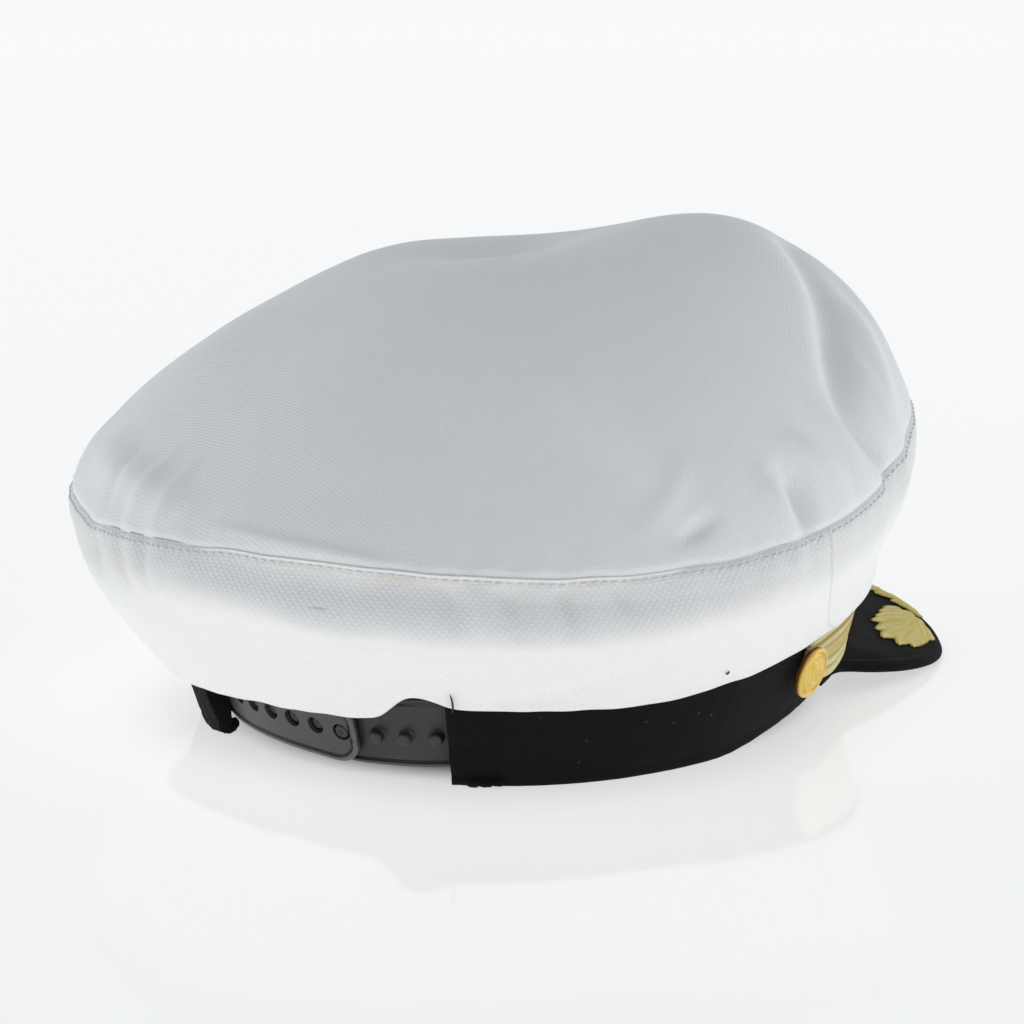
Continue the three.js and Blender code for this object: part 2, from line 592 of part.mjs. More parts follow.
// A leaf is pointed at its tip, narrow at its stalk and raised along its spine
function leaf({ x, y, tipX, tipY, width }) {
  const ahead = new THREE.Vector2(tipX - x, tipY - y);
  const length = ahead.length();
  ahead.normalize();
  const aside = new THREE.Vector2(-ahead.y, ahead.x);
  const loops = steps(0, 1, LEAF_LOOPS).map((share) => {
    const half = (width / 2) * Math.max(Math.sin(Math.PI * lerp(0.12, 0.96, share)), 0.12);
    const spine = new THREE.Vector2(x, y).addScaledVector(ahead, share * length);
    const place = (across, proud) => {
      const point = spine.clone().addScaledVector(aside, across * half);
      return overPeak(point.x, point.y, LEAF_LIFT + proud);
    };
    const face = [place(-1, LEAF_EDGE), place(0, LEAF_THICKNESS), place(1, LEAF_EDGE)];
    return [...face, place(1, 0), place(0, 0), place(-1, 0)];
  });
  return loft(loops);
}

function leafSpray(leaves, side) {
  const solids = leaves.map((row) => toManifold(leaf(row)));
  const spray = fromManifold(solids.reduce((joined, solid) => joined.add(solid)));
  spray.scale(side, 1, 1);
  return closedBody(spray);
}

const hat = new THREE.Group();
hat.add(
  piece('crown_top', crownTop(), WHITE_CANVAS),
  piece('crown_side_back', crownSide(true), WHITE_CANVAS),
  piece('crown_side_front', crownSide(false), WHITE_CANVAS),
  piece('band', band(), BLACK_CLOTH),
  piece('peak', peak(), BLACK_CLOTH),
  piece('side_leaves_right', leafSpray(SIDE_LEAVES, 1), GOLD_THREAD),
  piece('side_leaves_left', leafSpray(SIDE_LEAVES, -1), GOLD_THREAD),
  piece('front_leaves_right', leafSpray(FRONT_LEAVES, 1), GOLD_THREAD),
  piece('front_leaves_left', leafSpray(FRONT_LEAVES, -1), GOLD_THREAD),
  piece('snap_strap_pegs', pegStrap(), GREY_PLASTIC),
  piece('snap_strap_holes', holeStrap(), GREY_PLASTIC),
  piece('gold_braid', goldBraid(), GOLD_THREAD),
  piece('button_right', button(1), GILT_METAL),
  piece('button_left', button(-1), GILT_METAL),
);
const middle = new THREE.Box3().setFromObject(hat).getCenter(new THREE.Vector3());
hat.position.set(-middle.x, -middle.y, 0);

export default hat;
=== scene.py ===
"""The looks of a sailor hat around its CAD part: canvas crown, black band, embroidered peak and snap strap.

Shapes are worked out in millimetres in the hat's own frame, round the middle axis of the head opening, and
moved into the part's frame in metres when a mesh is made. A turn is an angle round the hat in degrees, from
the back (+Y) towards the wearer's right side (-X). A place on the crown is 0 at the middle of the top panel,
1 at the seam and 2 at the hem.
"""

import math

import bmesh
import bpy
import numpy as np
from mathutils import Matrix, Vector


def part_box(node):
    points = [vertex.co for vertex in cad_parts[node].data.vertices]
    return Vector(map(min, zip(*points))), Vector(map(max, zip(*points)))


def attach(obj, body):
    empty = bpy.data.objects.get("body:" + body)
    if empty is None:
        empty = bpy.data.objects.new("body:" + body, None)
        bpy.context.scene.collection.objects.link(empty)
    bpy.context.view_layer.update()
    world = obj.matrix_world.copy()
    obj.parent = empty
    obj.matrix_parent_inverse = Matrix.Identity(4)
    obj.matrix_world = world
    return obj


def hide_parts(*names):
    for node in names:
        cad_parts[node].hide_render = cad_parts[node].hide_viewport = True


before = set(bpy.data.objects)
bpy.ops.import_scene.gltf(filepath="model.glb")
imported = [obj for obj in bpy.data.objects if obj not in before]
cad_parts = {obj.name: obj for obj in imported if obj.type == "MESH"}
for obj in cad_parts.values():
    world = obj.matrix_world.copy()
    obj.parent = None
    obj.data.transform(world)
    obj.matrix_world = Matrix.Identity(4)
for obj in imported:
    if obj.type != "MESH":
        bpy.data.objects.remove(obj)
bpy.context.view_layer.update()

MM = 0.001

# The crown. Lengths are in millimetres and turns in degrees.
SUMMIT_UP = 134
SUMMIT_LEAN = 0.12
DOME_EDGE = 0.72
SHOULDER = 0.35
WAIST = 0.3
WAIST_REACH = 0.4
PANEL_SEAM_TURN = 80
PANEL_SEAM_SWEEP = 18
CLOTH = 1.5
HEM_CLOTH = 2.6
HEM_EASE = 0.4
GAP = 0.35
CANVAS_GRAIN = -12  # how far the top panel's ribs are turned from straight across the hat
PANEL_GAP = 0.008  # between the two side panels, which are sewn edge to edge
SEAM_EDGE = 0.04  # each panel's edge stops this far from the seam
SEAM_REACH = 9  # how far from the seam its pull is felt
STITCH_LINE = 1.9  # the row of stitches under the seam
STITCH_PITCH = 2.75
STITCH_LENGTH = 1.8
STITCH_RADIUS = 0.36
ALLOWANCE = 6.5  # the seam allowance lies under the side panel for this far
HEM_ROLL = 3.2  # the height of the rolled edge of the hem
FOLD_STEPS = 22  # points along the line of a fold
SOIL_TURN = 12  # of the faint marks on the side panel
STAIN_TURN = 21

# The band, peak, leaves, braid, buttons and straps
BAND_HALF_WIDTH = 86.6
BAND_HALF_LENGTH = 96
BAND_SQUARENESS = 2.22
BAND_HEIGHT = 29
BAND_FLARE = 18.5
BAND_TOP_ROOM = 9
BAND_CLOTH = 2.4
BAND_END_CLOTH = 3.4
BAND_END_LENGTH = 11
BAND_OPENING = 24.5
BAND_END_FOLD = 2.2  # how much thicker the very edge of the band's ends is folded, round the straps
BAND_END_LIFT = 2  # how far the left end's corner is off the table
BAND_END_TURN = 8  # each end of the band has finer rows over this turn
FLAP_SET_BACK = 7.2
FLAP_CLOTH = 2.2
BALL_SIDES = 20
BALL_ROWS = 12
BAND_MAP_RADIUS = 92
PEAK_MAP_RADIUS = 120
PEAK_CLOTH = 2.6
PEAK_GAP = 0.1
PEAK_LIFT = 0.6
PEAK_SWELL = 1.6
PEAK_SWELL_WIDTH = 20
THREAD_PITCH = 0.46
THREAD_RADIUS = 0.27
BRAID_WIDTH = 16
BRAID_THICKNESS = 1.4
BRAID_UP = 7.4
BRAID_END = -1.2
BRAID_END_NARROWING = 6
BRAID_END_LENGTH = 5
BRAID_SAG = 2.8
BRAID_KICK = 1.7
BUTTON_UP = 16.8
BUTTON_RADIUS = 7.5
BUTTON_TURN = 92
BUTTON_AIM = 92
BUTTON_DROOP = -0.27
BUTTON_CLEARANCE = 1.2
BUTTON_SPIN = 0.3
BUTTON_SIDES = 128
STRAP_HALF_WIDTH = 10
STRAP_THICKNESS = 1.4
STRAP_RIM = 0.5
STRAP_TIP = 8
STRAP_SEWN = 5
STRAP_BOW = 4.1
STRAP_SET_BACK = BAND_END_CLOTH + STRAP_RIM + 0.5
PEG_SET_BACK = STRAP_SET_BACK + STRAP_THICKNESS + STRAP_RIM + 1
HOLE_STRAP_TIP = 9
PEG_STRAP_TIP = -20
PEG_PITCH = 5
PEG_RADIUS = 1.9
PEG_LENGTH = 2.6
HOLE_RADIUS = 2.5
FIRST_PEG = 22.2
PEG_COUNT = 8
FREE_PEGS = 3
HOLE_COUNT = 6
HOLE_TURN = 6.5  # of the hole nearest the tip
HOLE_PITCH = 4.7
ARC_RADIUS = 3.7  # of the groove round the last hole
PEG_STRAP_UPPER = 1.22  # how much wider the inner strap is above its pegs
SNAPPED_LENGTH = (2.95, 2.0)  # of the peg in the last hole, and of the others
SNAPPED_RADIUS = 2.05
NO_RIM = 9  # a distance from the strap's outline that is past its rim
HOLE_SIDES = 40
PEG_SIDES = 28
WELD_DISTANCE = 0.002
HOLE_WELD_DISTANCE = 0.01


def columns(names, *rows):
    """A table with named columns."""
    return dict(zip(names.split(), np.array(rows, float).T))


def records(names, *rows):
    """A list of rows with named values."""
    return [dict(zip(names.split(), row)) for row in rows]


CROWN = columns(
    "turn seam_reach seam_up hem_up squareness bulge belly",
    (0, 128, 66, 18, 2.2, 5, -1.5),
    (14, 126.8, 66, 19.2, 2.2, 5, -1.5),
    (20, 126, 65.5, 25.9, 2.25, 5, -1.5),
    (26, 125, 64.5, 23.4, 2.3, 5, -1.5),
    (34, 123.2, 63.3, 22.8, 2.3, 5, -1.5),
    (60, 118, 63.5, 23, 2.4, 5, -1.5),
    (90, 115, 72, 28.5, 2.7, 5, -2),
    (120, 113, 91, 33, 2.6, 6, -4.5),
    (150, 108, 99, 36, 3.4, 4.5, -2),
    (180, 100, 100, 37, 3.6, 2, -2),
    (210, 106, 96, 36, 3.4, 2, -2),
    (240, 119, 88, 33, 3, 3, -1.5),
    (270, 129, 78, 28, 2.3, 4, 4),
    (300, 132, 69, 21, 2, 5, 1.8),
    (330, 131, 64, 17, 2, 5.8, 3),
)

# The top panel meets the seam less steeply at the back
BACK_EDGE = 0.28
BACK_TURN = 24
BACK_SWEEP = 44

# The hem and the band stand out a little behind the wearer's left ear
SPREAD_TURN = 328
SPREAD_SWEEP = 18
HEM_SPREAD = 4.2
BAND_SPREAD = 2.1

# Humps and hollows of the top panel, round spots in plan
TOP_SWELLS = columns(
    "turn reach spread rise",
    (140, 70, 36, 6.7),
    (224, 36, 30, -9.5),
    (254, 64, 24, 1.5),
    (308, 98, 26, 2.5),
    (56, 112, 8, -3.6),
)

# Folds of the cloth, each along a curve from one turn and place to another, bent towards its middle point.
# A negative rise is a hollow.
FOLD_NAMES = "turn0 place0 turn1 place1 turn2 place2 width rise"
TOP_FOLDS = records(
    FOLD_NAMES,
    (134, 0.72, 84, 0.84, 98.5, 0.998, 5.4, -5.2),
    (95, 0.92, 96, 0.96, 98.2, 0.998, 2.4, -1.8),
    (120, 0.86, 108, 0.9, 104, 0.985, 6, 2.4),
    (75.5, 0.93, 77, 0.96, 76, 0.995, 3.2, -3.8),
    (71.5, 0.92, 72.5, 0.96, 73, 0.99, 3, 1.8),
    (80, 0.9, 83, 0.94, 85, 0.99, 4, 2.4),
    (57, 0.965, 59, 0.958, 61.5, 0.948, 2.4, -2),
    (44, 0.6, 46, 0.7, 53, 0.84, 7, 2),
    (60, 0.86, 57, 0.9, 52, 0.94, 4, 1.3),
    (140, 0.78, 133, 0.88, 122, 0.94, 5, 1.9),
    (-4, 0.972, 9, 0.982, 20, 0.992, 2.2, 0.9),
    (318, 0.93, 334, 0.92, 348, 0.95, 7, 2.4),
    (338, 0.86, 339, 0.93, 340, 0.99, 2.6, 1.1),
    (344, 0.88, 345, 0.94, 346, 0.99, 2.4, 1.0),
    (329, 0.88, 331, 0.94, 333, 0.98, 2.6, -1.0),
    (88, 0.88, 90, 0.93, 92, 0.985, 4, 1.2),
    (110, 0.8, 104, 0.88, 102, 0.97, 3, 1.0),
    (156, 0.82, 158, 0.9, 160, 0.98, 5, -1.2),
    (196, 0.84, 199, 0.92, 201, 0.985, 5, -1.4),
    (216, 0.8, 213, 0.9, 214, 0.985, 6, 1.1),
    (232, 0.8, 236, 0.9, 238, 0.985, 5, -1.3),
    (262, 0.86, 258, 0.93, 259, 0.985, 5, -1.1),
    (288, 0.84, 291, 0.92, 292, 0.985, 6, -1.2),
    (306, 0.9, 307, 0.95, 308, 0.99, 4, 0.9),
)
SIDE_FOLDS = records(
    FOLD_NAMES,
    (-22, 1.14, 4, 1.22, 25, 1.46, 6.5, 3.6),
    (10, 1.3, 36, 1.5, 72, 1.22, 6.8, 4.6),
    (-4, 1.07, 22, 1.16, 54, 1.06, 5.5, -2.4),
    (30, 1.66, 46, 1.62, 76, 1.42, 8, 1.6),
    (33, 1.94, 46, 1.74, 60, 1.46, 4.5, -3),
    (-34, 1.3, -24, 1.4, -14, 1.6, 7, 1.4),
    (-20, 1.03, -19.5, 1.13, -18.5, 1.26, 2.6, -1.9),
    (-14.5, 1.03, -14, 1.1, -13.5, 1.2, 2.4, -1.5),
    (-27, 1.03, -26.5, 1.12, -26, 1.24, 2.6, -1.7),
    (26, 1.05, 26.5, 1.12, 28, 1.26, 2, -1.6),
    (30, 1.06, 30.5, 1.14, 31.5, 1.3, 2.2, 1.2),
    (33, 1.06, 34, 1.14, 35, 1.3, 2.6, -2.4),
    (40.5, 1.04, 41, 1.14, 41.5, 1.28, 2.4, -2.1),
    (47, 1.05, 47.5, 1.12, 49, 1.22, 2.2, -1.2),
    (98, 1.1, 101, 1.3, 104, 1.6, 6, -1.4),
    (118, 1.2, 122, 1.4, 121, 1.7, 8, 1.3),
    (146, 1.1, 150, 1.3, 149, 1.6, 7, -1.2),
    (168, 1.08, 172, 1.3, 171, 1.6, 7, 1),
    (190, 1.1, 194, 1.3, 192, 1.7, 7, -1.3),
    (214, 1.15, 220, 1.35, 222, 1.6, 8, 1.2),
    (240, 1.1, 236, 1.3, 238, 1.6, 6, -1.2),
    (262, 1.1, 266, 1.35, 264, 1.6, 8, 1),
    (284, 1.1, 289, 1.3, 286, 1.5, 6, -1.2),
    (310, 1.2, 318, 1.35, 330, 1.4, 7, -1.1),
)

# The band's lower edge over the table, which lifts towards the peak
BAND_EDGE = columns("turn up", (0, 0), (72, 0), (90, 3.4), (110, 7.4), (140, 10.5), (180, 13))

# The underside of the peak's rim
PEAK_RIM = columns(
    "turn reach up",
    (110, 90.5, 8),
    (114, 91.9, 8.4),
    (117, 93.2, 8.6),
    (121, 97.4, 7.4),
    (126, 107, 5),
    (132, 119.5, 2.4),
    (139, 133, 0.4),
    (145, 141.5, 0),
    (152, 146.5, 3),
    (160, 148, 7),
    (170, 149, 11),
    (180, 149, 13),
)

# The middle line of each strap over the table
STRAP_LINES = {
    "holes": columns("turn up", (-30, 15.6), (-15, 14.9), (0, 13.3), (9, 11.9)),
    "pegs": columns("turn up", (-15, 16), (0, 13.5), (9, 12.1), (30, 14.2)),
}

# The leaves on the wearer's right side of the peak, in plan, from stalk to tip
LEAF_NAMES = "x y tip_x tip_y width"
SIDE_LEAVES = records(
    LEAF_NAMES,
    (-63, -122.5, -60.5, -112.5, 6),
    (-65.5, -120.5, -63, -105.5, 6.5),
    (-68, -117.5, -65, -99, 7),
    (-70, -114.5, -70.5, -91.5, 8),
    (-72, -111.5, -76, -85, 8),
    (-73, -111.5, -81, -86, 7),
    (-73, -113.5, -82.5, -93, 7),
    (-72, -116.5, -81.5, -100.5, 6.5),
    (-70, -119, -80, -106.5, 6.5),
    (-60.5, -126, -60.3, -116.5, 6),
    (-64, -127, -66, -112, 8),
    (-68.5, -124.5, -72, -107, 8.5),
    (-72.5, -121, -77, -104, 8),
    (-75, -117.5, -79.4, -109, 5),
)
FRONT_LEAVES = records(
    LEAF_NAMES,
    (-59, -134, -30, -143.5, 4),
    (-57.5, -134.5, -55.2, -130.4, 5),
    (-52, -137.5, -48.6, -131.6, 6),
    (-46, -140, -41.4, -133, 6),
    (-39.5, -142, -33.4, -134.6, 6),
    (-33, -143.5, -25, -136.6, 6),
    (-68, -128, -58, -133.8, 3),
    (-65, -130.6, -52, -137.6, 3.4),
    (-62, -132.6, -58.6, -129.8, 4),
)

# Shared sums


def lerp(low, high, share):
    return low + (high - low) * share


def smooth_step(low, high, value):
    share = np.clip((value - low) / (high - low), 0, 1)
    return share * share * (3 - 2 * share)


def bump_at(value, middle, width):
    """1 at the middle, falling to 0 over the width."""
    return np.exp(-(((value - middle) / width) ** 2))


def unit(vectors):
    return vectors / np.maximum(np.linalg.norm(vectors, axis=-1, keepdims=True), 1e-9)


def table_value(table, column, turn, period=0.0):
    """A smooth value between the rows of a table. With a period the last row leads on to the first."""
    ats, values = table["turn"], table[column]
    count = len(ats)
    turn = np.asarray(turn, float)
    place = ats[0] + np.mod(turn - ats[0], period) if period else turn
    k = np.clip(np.searchsorted(ats, place, side="right") - 1, 0, count - (1 if period else 2))

    def row(j):
        if period:
            return ats[j % count] + (j // count) * period, values[j % count]
        held = np.clip(j, 0, count - 1)
        return ats[held] + (j - held), values[held]

    (at0, value0), (at1, value1), (at2, value2), (at3, value3) = (row(k + j) for j in (-1, 0, 1, 2))
    span = at2 - at1
    slope1 = span * (value2 - value0) / (at2 - at0)
    slope2 = span * (value3 - value1) / (at3 - at1)
    f = np.clip((place - at1) / span, 0, 1)
    return (
        (2 * f**3 - 3 * f**2 + 1) * value1
        + (f**3 - 2 * f**2 + f) * slope1
        + (3 * f**2 - 2 * f**3) * value2
        + (f**3 - f**2) * slope2
    )


def at(turn, reach, up):
    """Points at a turn, a reach from the middle axis and a height."""
    angle = np.radians(turn)
    return np.stack(np.broadcast_arrays(-np.sin(angle) * reach, np.cos(angle) * reach, up), axis=-1)


def facing(turn, elevation):
    """The direction of a turn and an elevation over the floor."""
    high = math.radians(elevation)
    return at(turn, math.cos(high), math.sin(high))


def run_along(points, axis):
    """Distance along each row of points from its first one."""
    steps = np.linalg.norm(np.diff(points, axis=axis), axis=-1)
    return np.insert(np.cumsum(steps, axis=axis), 0, 0, axis=axis)


def mirrored_turn(turn):
    """The turn's mirror image on the wearer's right side."""
    return np.minimum(np.mod(turn, 360), 360 - np.mod(turn, 360))


def band_edge_up(turn):
    return np.maximum(0, table_value(BAND_EDGE, "up", mirrored_turn(turn)))


def band_reach(turn, height):
    """Reach of the band's outer face at a height over its lower edge."""
    angle = np.radians(turn)
    across = np.abs(np.sin(angle)) / BAND_HALF_WIDTH
    along = np.abs(np.cos(angle)) / BAND_HALF_LENGTH
    total = across**BAND_SQUARENESS + along**BAND_SQUARENESS
    return total ** (-1 / BAND_SQUARENESS) + height * math.tan(math.radians(BAND_FLARE))


# Smooth noise on a repeating lattice, from -1 to 1
LATTICE = np.random.default_rng(11).uniform(-1, 1, (32, 32, 32))


def noise(points, size):
    cell = points / size
    low = np.floor(cell).astype(int)
    f = cell - low
    f = f * f * (3 - 2 * f)
    total = np.zeros(points.shape[:-1])
    for corner in np.ndindex(2, 2, 2):
        weight = np.prod(np.where(np.array(corner, bool), f, 1 - f), axis=-1)
        i, j, k = np.moveaxis((low + corner) % len(LATTICE), -1, 0)
        total += weight * LATTICE[i, j, k]
    return total


# Where the hat's own frame lies in the part's frame
band_low, band_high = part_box("band")
band_middle = (band_low.x + band_high.x) / 2 / MM
SHIFT = np.array([band_middle, band_low.y / MM + float(band_reach(180, BAND_HEIGHT)), 0])

# Making meshes


def linked(name, data):
    """A new object in the scene."""
    made = bpy.data.objects.new(name, data)
    bpy.context.scene.collection.objects.link(made)
    return made


def mesh_of(name, points, faces):
    """A mesh in the part's frame from points in the hat's own."""
    mesh = bpy.data.meshes.new(name)
    mesh.from_pydata(((np.asarray(points) + SHIFT) * MM).tolist(), [], [list(f) for f in faces])
    return mesh


def make_piece(name, points, faces, material, replaces=(), slot=None, uv=None, rim=None, flat_faces=()):
    """An object from points in millimetres and faces, with maps in millimetres for its weave and its rim."""
    mesh = mesh_of(name, points, faces)
    corner = np.zeros(len(mesh.loops), np.int32)
    mesh.loops.foreach_get("vertex_index", corner)
    for map_name, values in (("cloth", uv), ("rim", rim)):
        if values is not None:
            layer = mesh.uv_layers.new(name=map_name)
            layer.data.foreach_set("uv", np.asarray(values, np.float32)[corner].ravel())
    smooth = np.ones(len(mesh.polygons), bool)
    smooth[list(flat_faces)] = False
    mesh.polygons.foreach_set("use_smooth", smooth)
    mesh.materials.append(material)
    mesh.validate()
    mesh.update()
    piece = linked(name, mesh)
    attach(piece, "root")
    if replaces:
        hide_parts(*replaces)
    return piece


def loft_faces(count, size, wraps):
    """Faces through loops of points, each loop a closed section."""
    here = (np.arange(count if wraps else count - 1) * size)[:, None]
    step = np.arange(size)
    after = (step + 1) % size
    following = (here + size) % (count * size)
    quads = np.stack(
        np.broadcast_arrays(here + step, here + after, following + after, following + step), axis=-1
    )
    return quads.reshape(-1, 4)


def loft(name, loops, uv, material, wraps=False, **options):
    """A closed mesh through loops of points. Where it doesn't wrap its ends are capped with flat faces."""
    count, size = loops.shape[:2]
    faces = loft_faces(count, size, wraps)
    points = loops.reshape(-1, 3)
    a, b, c, d = (points[faces[:, k]] for k in range(4))
    volume = np.einsum("ij,ij->", a, np.cross(b, c)) + np.einsum("ij,ij->", a, np.cross(c, d))
    inward = volume < 0
    faces = (faces[:, ::-1] if inward else faces).tolist()
    flat = []
    if not wraps:
        start = list(range(size))
        end = list(range((count - 1) * size, count * size))
        faces += [start if inward else start[::-1], end[::-1] if inward else end]
        flat = [len(faces) - 2, len(faces) - 1]
    return make_piece(name, points, faces, material, uv=uv.reshape(-1, 2), flat_faces=flat, **options)


def tubes(name, paths, normals, radius, material, **options):
    """Many short threads in one mesh, each along a row of points. Their ends taper into the cloth."""
    sides = 6
    amount, length = paths.shape[:2]
    tangent = unit(np.gradient(paths, axis=1))
    across = unit(np.cross(tangent, normals))
    outward = np.cross(across, tangent)
    angle = np.linspace(0, 2 * np.pi, sides, endpoint=False)
    thick = radius * np.sqrt(np.maximum(1 - np.linspace(-1, 1, length) ** 6, 0.05))
    ring = across[:, :, None] * np.cos(angle)[:, None] + outward[:, :, None] * np.sin(angle)[:, None]
    points = paths[:, :, None] + ring * thick[None, :, None, None]
    first = (np.arange(amount) * length * sides)[:, None]
    faces = (loft_faces(length, sides, False) + first[:, None]).reshape(-1, 4).tolist()
    faces += (first + np.arange(sides)[::-1]).tolist()
    faces += (first + (length - 1) * sides + np.arange(sides)).tolist()
    run = np.cumsum(np.linalg.norm(np.diff(paths, axis=1, prepend=paths[:, :1]), axis=-1), axis=1)
    uv = np.stack(np.broadcast_arrays(run[:, :, None], (angle * radius)[None, None, :]), axis=-1)
    return make_piece(name, points.reshape(-1, 3), faces, material, uv=uv.reshape(-1, 2), **options)


def edge_points(front, back, tangent, steps=4):
    """A round edge between two rows of points, bulging along the tangent."""
    middle = (front + back) / 2
    up = (front - back) / 2
    size = np.linalg.norm(up, axis=-1, keepdims=True)
    angles = np.linspace(0, np.pi, steps + 2)[1:-1]
    return np.stack([middle + up * math.cos(a) + tangent * size * math.sin(a) for a in angles], axis=1)


def upright_loops(front, back):
    """Closed sections with round edges, from two faces whose rows run up."""
    low = np.broadcast_to(np.array([0, 0, -1.0]), front[:, 0].shape)
    top_edge = edge_points(front[:, -1], back[:, -1], -low)
    low_edge = edge_points(back[:, 0], front[:, 0], low)
    return np.concatenate([front, top_edge, back[:, ::-1], low_edge], axis=1)


def turned_points(section, sides):
    """A section of radii and heights turned round an axis."""
    angle = np.linspace(0, 2 * np.pi, sides, endpoint=False)
    radius, height = np.array(section, float).T
    rows = (np.cos(angle)[:, None] * radius, height, np.sin(angle)[:, None] * radius)
    return np.stack(np.broadcast_arrays(*rows), axis=-1)


def baked(piece):
    """Makes a piece's modifiers part of its mesh."""
    evaluated = piece.evaluated_get(bpy.context.evaluated_depsgraph_get())
    mesh = bpy.data.meshes.new_from_object(evaluated)
    piece.modifiers.clear()
    old = piece.data
    piece.data = mesh
    bpy.data.meshes.remove(old)
    return piece


def weld(piece, distance=WELD_DISTANCE):
    """Merges the corners that meet, such as those at a ball's poles."""
    modifier = piece.modifiers.new("weld", "WELD")
    modifier.merge_threshold = distance * MM
    return baked(piece)


def turn_outward(piece):
    """Turns a closed mesh's faces outward."""
    mesh = bmesh.new()
    mesh.from_mesh(piece.data)
    bmesh.ops.recalc_face_normals(mesh, faces=mesh.faces)
    mesh.to_mesh(piece.data)
    mesh.free()


# Materials


def node(tree, kind, sockets=None, output=0, **settings):
    """Adds a shader node, sets or links its sockets and returns one of its outputs."""
    made = tree.nodes.new("ShaderNode" + kind)
    for key, value in settings.items():
        setattr(made, key, value)
    for key, value in (sockets or {}).items():
        if isinstance(value, bpy.types.NodeSocket):
            tree.links.new(value, made.inputs[key])
        else:
            made.inputs[key].default_value = value
    return made.outputs[output]


def maths(tree, operation, a, b=0.0, c=0.0):
    return node(tree, "Math", {0: a, 1: b, 2: c}, operation=operation)


def new_material(name, **sockets):
    """A material with one Principled shader, whose plain values are set on its own sockets."""
    material = bpy.data.materials.new(name)
    material.use_nodes = True
    tree = material.node_tree
    shader = tree.nodes["Principled BSDF"]
    for key, value in sockets.items():
        shader.inputs[key.replace("_", " ")].default_value = value
    return material, tree, shader


def colour(red, green, blue):
    """A linear colour from the 0 to 255 values seen on screen."""
    channels = np.array([red, green, blue]) / 255
    linear = np.where(channels <= 0.04045, channels / 12.92, ((channels + 0.055) / 1.055) ** 2.4)
    return (*linear.tolist(), 1.0)


def grey(value):
    return colour(value, value, value)


def scaled(tint, factor):
    """A colour made lighter or darker by a factor."""
    return (*(min(1.0, c * factor) for c in tint[:3]), 1.0)


def ranged(tree, value, start, end, low=0.0, high=1.0, shape="LINEAR"):
    """The value moved from one range to another and held inside it."""
    sockets = {"Value": value, "From Min": start, "From Max": end, "To Min": low, "To Max": high}
    return node(tree, "MapRange", sockets, interpolation_type=shape, clamp=True)


def ramp(tree, factor, stops):
    """A colour by a factor, from stops that each have a place and a colour."""
    made = tree.nodes.new("ShaderNodeValToRGB")
    tree.links.new(factor, made.inputs[0])
    elements = made.color_ramp.elements
    for index, (where, tint) in enumerate(stops):
        stop = elements[index] if index < 2 else elements.new(where)
        stop.position, stop.color = where, tint
    return made.outputs[0]


def split(tree, vector):
    """The three parts of a vector."""
    made = tree.nodes.new("ShaderNodeSeparateXYZ")
    tree.links.new(vector, made.inputs[0])
    return made.outputs


def map_axes(tree):
    """The map's place in millimetres and its two axes."""
    place = node(tree, "UVMap", uv_map="cloth")
    axes = split(tree, place)
    return place, axes[0], axes[1]


def wave(tree, value, pitch, phase=0.0):
    """A sine of the value with a pitch in millimetres."""
    return maths(tree, "SINE", maths(tree, "MULTIPLY_ADD", value, 2 * math.pi / pitch, phase))


def weave(tree, across, along, pitch_across, pitch_along, rib):
    """The height of a plain weave, from 0 between its threads to 1 on them. Rib favours its rows."""
    cross = maths(tree, "MULTIPLY", wave(tree, across, 2 * pitch_across), wave(tree, along, 2 * pitch_along))
    rows = wave(tree, along, pitch_along, math.pi / 2)
    both = maths(tree, "MULTIPLY_ADD", cross, 0.5 * (1 - rib), 0.5)
    return maths(tree, "MULTIPLY_ADD", rows, -0.5 * rib, both)


def noise_of(tree, vector, scale, detail=3.0, roughness=0.6):
    sockets = {"Vector": vector, "Scale": scale, "Detail": detail, "Roughness": roughness}
    return node(tree, "TexNoise", sockets)


def tinted(tree, factor, low, high):
    """A colour between two by a factor."""
    made = tree.nodes.new("ShaderNodeMix")
    made.data_type = "RGBA"
    for socket, value in (("Factor_Float", factor), ("A_Color", low), ("B_Color", high)):
        target = next(s for s in made.inputs if s.identifier == socket)
        if isinstance(value, bpy.types.NodeSocket):
            tree.links.new(value, target)
        else:
            target.default_value = value
    return next(s for s in made.outputs if s.identifier == "Result_Color")


def bumped(tree, shader, height, distance, strength=1.0):
    normal = node(tree, "Bump", {"Height": height, "Distance": distance, "Strength": strength})
    tree.links.new(normal, shader.inputs["Normal"])


def spot(tree, place, middle, radii):
    """1 at a point of the map and 0 at an ellipse round it."""
    away = node(tree, "VectorMath", {0: place, 1: (*middle, 0)}, operation="SUBTRACT")
    shares = (1 / radii[0], 1 / radii[1], 1)
    share = node(tree, "VectorMath", {0: away, 1: shares}, operation="MULTIPLY")
    size = node(tree, "VectorMath", {0: share}, output=1, operation="LENGTH")
    return ranged(tree, size, 1.0, 0.2)


